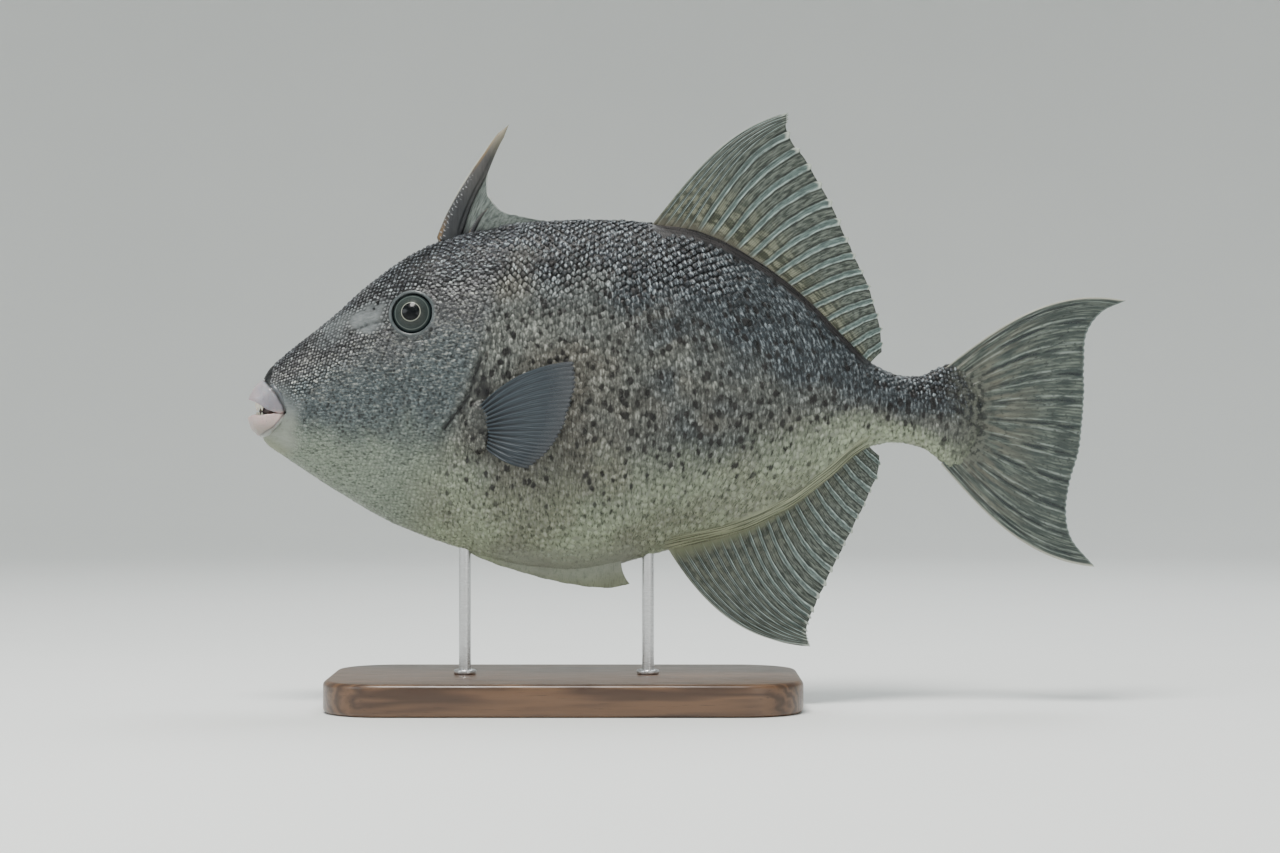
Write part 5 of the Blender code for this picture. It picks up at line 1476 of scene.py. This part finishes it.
def thorn(name, line, radii, flatness, roughness):
    """A thorn along a line in the side view: a sphere whose rings are set along it."""
    bpy.ops.mesh.primitive_uv_sphere_add(segments=56, ring_count=110, radius=1)
    piece = new_piece(name)
    ball = places_of(piece)
    share = (1 + np.clip(ball[:, 2], -1, 1)) / 2
    share = blend(share, np.arccos(np.clip(-ball[:, 2], -1, 1)) / math.pi, 0.8)
    around = np.arctan2(ball[:, 1], -ball[:, 0])
    path = curve_through(on_fish(line))
    middle = path(share)
    way = path(np.minimum(share + 0.01, 1)) - path(np.maximum(share - 0.01, 0))
    way /= np.linalg.norm(way, axis=1)[:, None]
    radius = np.interp(share, np.linspace(0, 1, len(radii)), radii)
    radius = radius * np.minimum(1, np.linalg.norm(ball[:, :2], axis=1) * 3)
    front = np.cos(around)
    beads = np.maximum(np.sin(share * 210 + 2.0 * np.cos(5 * around)), 0) * ramp(front, -0.1, 0.6)
    beads *= (1 - ramp(share, 0.50, 0.70)) * (1 - ramp(front, 0.78, 0.95)) * np.abs(np.sin(4.5 * around + share * 60))
    groove = hill(np.abs(around) - 2.35, 0.22) * ramp(share, 0.12, 0.25) * (1 - ramp(share, 0.80, 0.95))
    radius = radius * (1 + roughness * (0.15 * beads - 0.16 * groove))
    keel = 1 + 0.10 * roughness * hill(np.abs(around), 0.25) * ramp(share, 0.3, 0.5)
    ahead = -front * radius * keel
    placed = np.column_stack([
        middle[:, 0] + way[:, 1] * ahead, np.sin(around) * radius * flatness, middle[:, 1] - way[:, 0] * ahead,
    ])
    put_places(piece, placed)
    put_values(piece, "along", share)
    put_values(piece, "front", front)
    put_values(piece, "bead", beads)
    edit(piece, lambda face: True, "FACE", lambda: bpy.ops.mesh.normals_make_consistent(inside=False))
    piece.data.shade_smooth()
    return piece


# %% Spine finish
spine_horn, tree, inputs = new_material("spine_horn", 0.42, Specular_IOR_Level=0.35)
place = add(tree, "TexCoord", "Object")
along_spine, front = stored(tree, "along"), stored(tree, "front")
fibre = noise(tree, stretched(tree, place, (900, 900, 130), (0, -0.42, 0)), 1.0, 4.0, 0.6)
colour = mix(tree, fibre, (0.020, 0.020, 0.021), (0.086, 0.083, 0.080))
colour = mix(tree, step(tree, along_spine, 0.62, 0.30), colour, mix(tree, fibre, (0.008, 0.009, 0.011), (0.040, 0.042, 0.046)))
gold_line = maths(tree, "MULTIPLY", step(tree, front, 0.50, 0.72), step(tree, front, 0.97, 0.90))
gold_line = maths(tree, "MULTIPLY", gold_line, step(tree, maths(tree, "ABSOLUTE", maths(tree, "SUBTRACT", along_spine, 0.42)), 0.12, 0.34))
colour = mix(tree, maths(tree, "MULTIPLY", gold_line, 0.75), colour, (0.170, 0.105, 0.045))
white_edge = maths(tree, "MULTIPLY", step(tree, front, 0.90, 0.97), step(tree, along_spine, 0.05, 0.35))
colour = mix(tree, maths(tree, "MULTIPLY", white_edge, 0.85), colour, (0.46, 0.44, 0.38))
colour = mix(tree, maths(tree, "MULTIPLY", step(tree, stored(tree, "bead"), 0.25, 0.8), 0.8), colour, (0.33, 0.33, 0.34))
colour = mix(tree, step(tree, along_spine, 0.70, 0.98, 0.0, 0.85), colour, (0.250, 0.225, 0.165))
tree.links.new(colour, inputs["Base Color"])
bump(tree, inputs, fibre, 0.5, 0.0004)

finish_piece(thorn("first_thorn", SPINE_LINE, SPINE_RADII, SPINE_FLATNESS, 1.0), spine_horn, ["trigger_spine"])
finish_piece(thorn("second_thorn", SECOND_LINE, SECOND_RADII, 0.9, 0.2), spine_horn)

# %% Sails behind the spine
MEMBRANE_ROOT = [(0.1040, 0.0850), (0.1115, 0.0862), (0.1250, 0.0880), (0.1480, 0.0925)]
MEMBRANE_EDGE = [
    (0.1196, 0.1208), (0.1194, 0.1130), (0.1200, 0.1072), (0.1226, 0.1036), (0.1256, 0.1004),
    (0.1298, 0.0983), (0.1380, 0.0966), (0.1480, 0.0946),
]
SECOND_SPINE_AT = (0.420, 0.170)  # share of the edge and share of the root where the second spine stands


def sail_root(across):
    return curve_through(on_fish(MEMBRANE_ROOT))(np.interp(across, [0, SECOND_SPINE_AT[0], 1], [0, SECOND_SPINE_AT[1], 1]))


sails = fin_sheet(
    "spine_sails", 4, 40, 36, ((0.0013, 0.0007), (0.0009, 0.0005)), (0.045, 0.0),
    sail_root, curve_through(on_fish(MEMBRANE_EDGE)), {"plateau": 0.02, "tip": 0.0002, "wave": 0.0004, "seed": 6},
)
sail_film, tree, inputs, across, out, lines = fin_start("sail_film", 4, 0.0, 0.05, 0.35)
grid = add(tree, "CombineXYZ", X=maths(tree, "MULTIPLY", across, 34.0), Y=maths(tree, "MULTIPLY", out, 5.0))
wrinkle = step(tree, noise(tree, grid, 1.0, 4.0, 0.65), 0.32, 0.68)
colour = mix(tree, wrinkle, (0.055, 0.068, 0.064), (0.178, 0.206, 0.190))
colour = mix(tree, step(tree, out, 0.35, 0.05), colour, (0.035, 0.038, 0.042))
# Painted shadow: the sail is near black along its front edge, where it meets the thorn.
colour = mix(tree, step(tree, across, 0.06, 0.01), colour, (0.008, 0.009, 0.012))
rim = step(tree, out, 0.955, 0.985)
colour = mix(tree, rim, colour, mix(tree, step(tree, across, 0.36, 0.40), (0.42, 0.44, 0.42), (0.28, 0.30, 0.29)))
tree.links.new(colour, inputs["Base Color"])
see_through(tree, inputs, maths(tree, "MAXIMUM", rim, step(tree, out, 0.3, 0.0)), 0.86)
bump(tree, inputs, wrinkle, 0.4, 0.0004)
finish_piece(sails, sail_film, ["spine_membrane"])

# %% [markdown]
# ## Belly flap
# The belly ends in a low keel that hides the fused bones of the hip fins. It is a thick fold of scaly
# hide with a rough spiny end.

# %% Belly flap
FLAP_ROOT = [(0.1040, -0.0640), (0.1330, -0.0735), (0.1600, -0.0765), (0.1820, -0.0735), (0.1868, -0.0712)]
FLAP_EDGE = [
    (0.1050, -0.0688), (0.1220, -0.0766), (0.1330, -0.0801), (0.1430, -0.0830), (0.1600, -0.0869),
    (0.1756, -0.0888), (0.1832, -0.0886), (0.1903, -0.0868),
]
FLAP_SHADOW = on_fish([(0.1560, -0.0805), (0.1700, -0.0838), (0.1890, -0.0860)])
flap = fin_sheet(
    "belly_flap", 9, 12, 24, ((0.0110, 0.0009), (0.0110, 0.0009)), (0.0, -0.13),
    curve_through(on_fish(FLAP_ROOT)), curve_through(on_fish(FLAP_EDGE)),
    {"plateau": 0.16, "tip": 0.00012, "seed": 7},
)
flap_places = places_of(flap)
for mark, values in marks_at(flap_places).items():
    put_values(flap, mark, values)
# Painted shade meant for the flap: a dark line along the fold above its tip, and the whole flap a little darker.
# crease, bare and edge are already stored from marks_at, so these three go in under new names and the hide reads the
# first ones.
put_values(flap, "crease", np.maximum(0.13, 0.45 * hill(from_line(flap_places, FLAP_SHADOW), 0.0009)))
put_values(flap, "bare", np.full(len(flap_places), 0.85))
put_values(flap, "edge", np.abs(from_line(flap_places, on_fish(FLAP_EDGE))))
put_values(flap, "root", flap_places)
put_values(flap, "tone", 0.4 * steady_noise(flap_places, 0.003, 9))
# rim gives the flap a patchy share of the scales' painted highlight and shade.
put_values(flap, "rim", 0.4 + 0.3 * steady_noise(flap_places, 0.0025, 10))
put_values(flap, "flow", flow_at(flap_places))
finish_piece(flap, skin_hide, ["pelvic_flap"])

# %% [markdown]
# ## Stand
# The base is a board of dark walnut with rounded corners and an eased edge, finished with satin varnish.
# Two steel rods rise from it into the belly. Each rod stands in a small turned collar.

# %% Board
BOARD_SIZE = (0.235, 0.120, 0.016)
BOARD_MIDDLE = (0.158 + SNOUT_X, 0, 0.008)
BOARD_CORNER = 0.030
BOARD_EDGE = 0.0025

bpy.ops.mesh.primitive_cube_add(size=1, location=BOARD_MIDDLE, scale=BOARD_SIZE)
board = new_piece("walnut_board")


def is_upright(element):
    return abs(element.verts[0].co.z - element.verts[1].co.z) > 0.001


def is_rim(element):
    faces = element.link_faces
    return len(faces) == 2 and abs(abs(faces[0].normal.z) - abs(faces[1].normal.z)) > 0.5


edit(board, is_upright, "EDGE", lambda: bpy.ops.mesh.bevel(offset=BOARD_CORNER, segments=16))
edit(board, is_rim, "EDGE", lambda: bpy.ops.mesh.bevel(offset=BOARD_EDGE, segments=5))
bpy.ops.object.select_all(action="DESELECT")
alone(board)
bpy.ops.object.shade_smooth_by_angle(angle=math.radians(40))

walnut, tree, inputs = new_material("walnut", 0.36, Coat_Weight=0.25, Coat_Roughness=0.25)
place = add(tree, "TexCoord", "Object")
grain_place = stretched(tree, place, (3, 34, 34), (0.10, 0.05, 0.03))
swirl = noise(tree, grain_place, 1.6, 3.0)
ring_place = add(tree, "VectorMath", "Vector", {"operation": "ADD"}, _0=grain_place, _1=add(
    tree, "CombineXYZ", X=swirl, Y=swirl, Z=swirl,
))
rings_of_wood = add(
    tree, "TexWave", "Fac", {"wave_type": "BANDS", "bands_direction": "Y"}, Vector=ring_place, Scale=1.6,
    Distortion=3.0, Detail=3.0, Detail_Scale=1.5,
)
pores = noise(tree, stretched(tree, place, (60, 1500, 1500)), 1.0, 3.0)
colour = mix(tree, rings_of_wood, (0.052, 0.025, 0.013), (0.125, 0.066, 0.034))
colour = mix(tree, step(tree, pores, 0.60, 0.72, 0.0, 0.6), colour, (0.022, 0.010, 0.006))
tree.links.new(colour, inputs["Base Color"])
tree.links.new(step(tree, pores, 0.3, 0.7, 0.30, 0.44), inputs["Roughness"])
bump(tree, inputs, pores, 0.25, 0.0003)
finish_piece(board, walnut, ["stand_base"])

# %% Rods
ROD_RADIUS = 0.003
COLLAR_RADIUS = 0.0056
COLLAR_HEIGHT = 0.0024
BOARD_TOP = BOARD_SIZE[2]
steel, tree, inputs = new_material("turned_steel", 0.28, Metallic=1.0)
place = add(tree, "TexCoord", "Object")
turned = noise(tree, stretched(tree, place, (40, 40, 9000)), 1.0, 2.0)
tree.links.new(mix(tree, turned, (0.50, 0.50, 0.51), (0.58, 0.58, 0.59)), inputs["Base Color"])
tree.links.new(step(tree, turned, 0.3, 0.7, 0.22, 0.36), inputs["Roughness"])
bump(tree, inputs, turned, 0.10, 0.0001)

for word, behind_snout in (("front", 0.108), ("rear", 0.1995)):
    x = SNOUT_X + behind_snout
    top = np.interp(x, outline_x, outline_belly) + 0.004
    bpy.ops.mesh.primitive_cylinder_add(
        vertices=64, radius=ROD_RADIUS, depth=top - BOARD_TOP, end_fill_type="NGON",
        location=(x, 0, (top + BOARD_TOP) / 2),
    )
    rod = new_piece(f"steel_rod_{word}")
    alone(rod)
    bpy.ops.object.shade_smooth_by_angle(angle=math.radians(40))
    finish_piece(rod, steel, [f"stand_rod_{word}"])
    bpy.ops.mesh.primitive_cylinder_add(
        vertices=64, radius=COLLAR_RADIUS, depth=COLLAR_HEIGHT, end_fill_type="NGON",
        location=(x, 0, BOARD_TOP + COLLAR_HEIGHT / 2),
    )
    collar = new_piece(f"steel_collar_{word}")
    edit(collar, is_rim, "EDGE", lambda: bpy.ops.mesh.bevel(offset=0.0008, segments=4))
    alone(collar)
    bpy.ops.object.shade_smooth_by_angle(angle=math.radians(40))
    finish_piece(collar, steel)
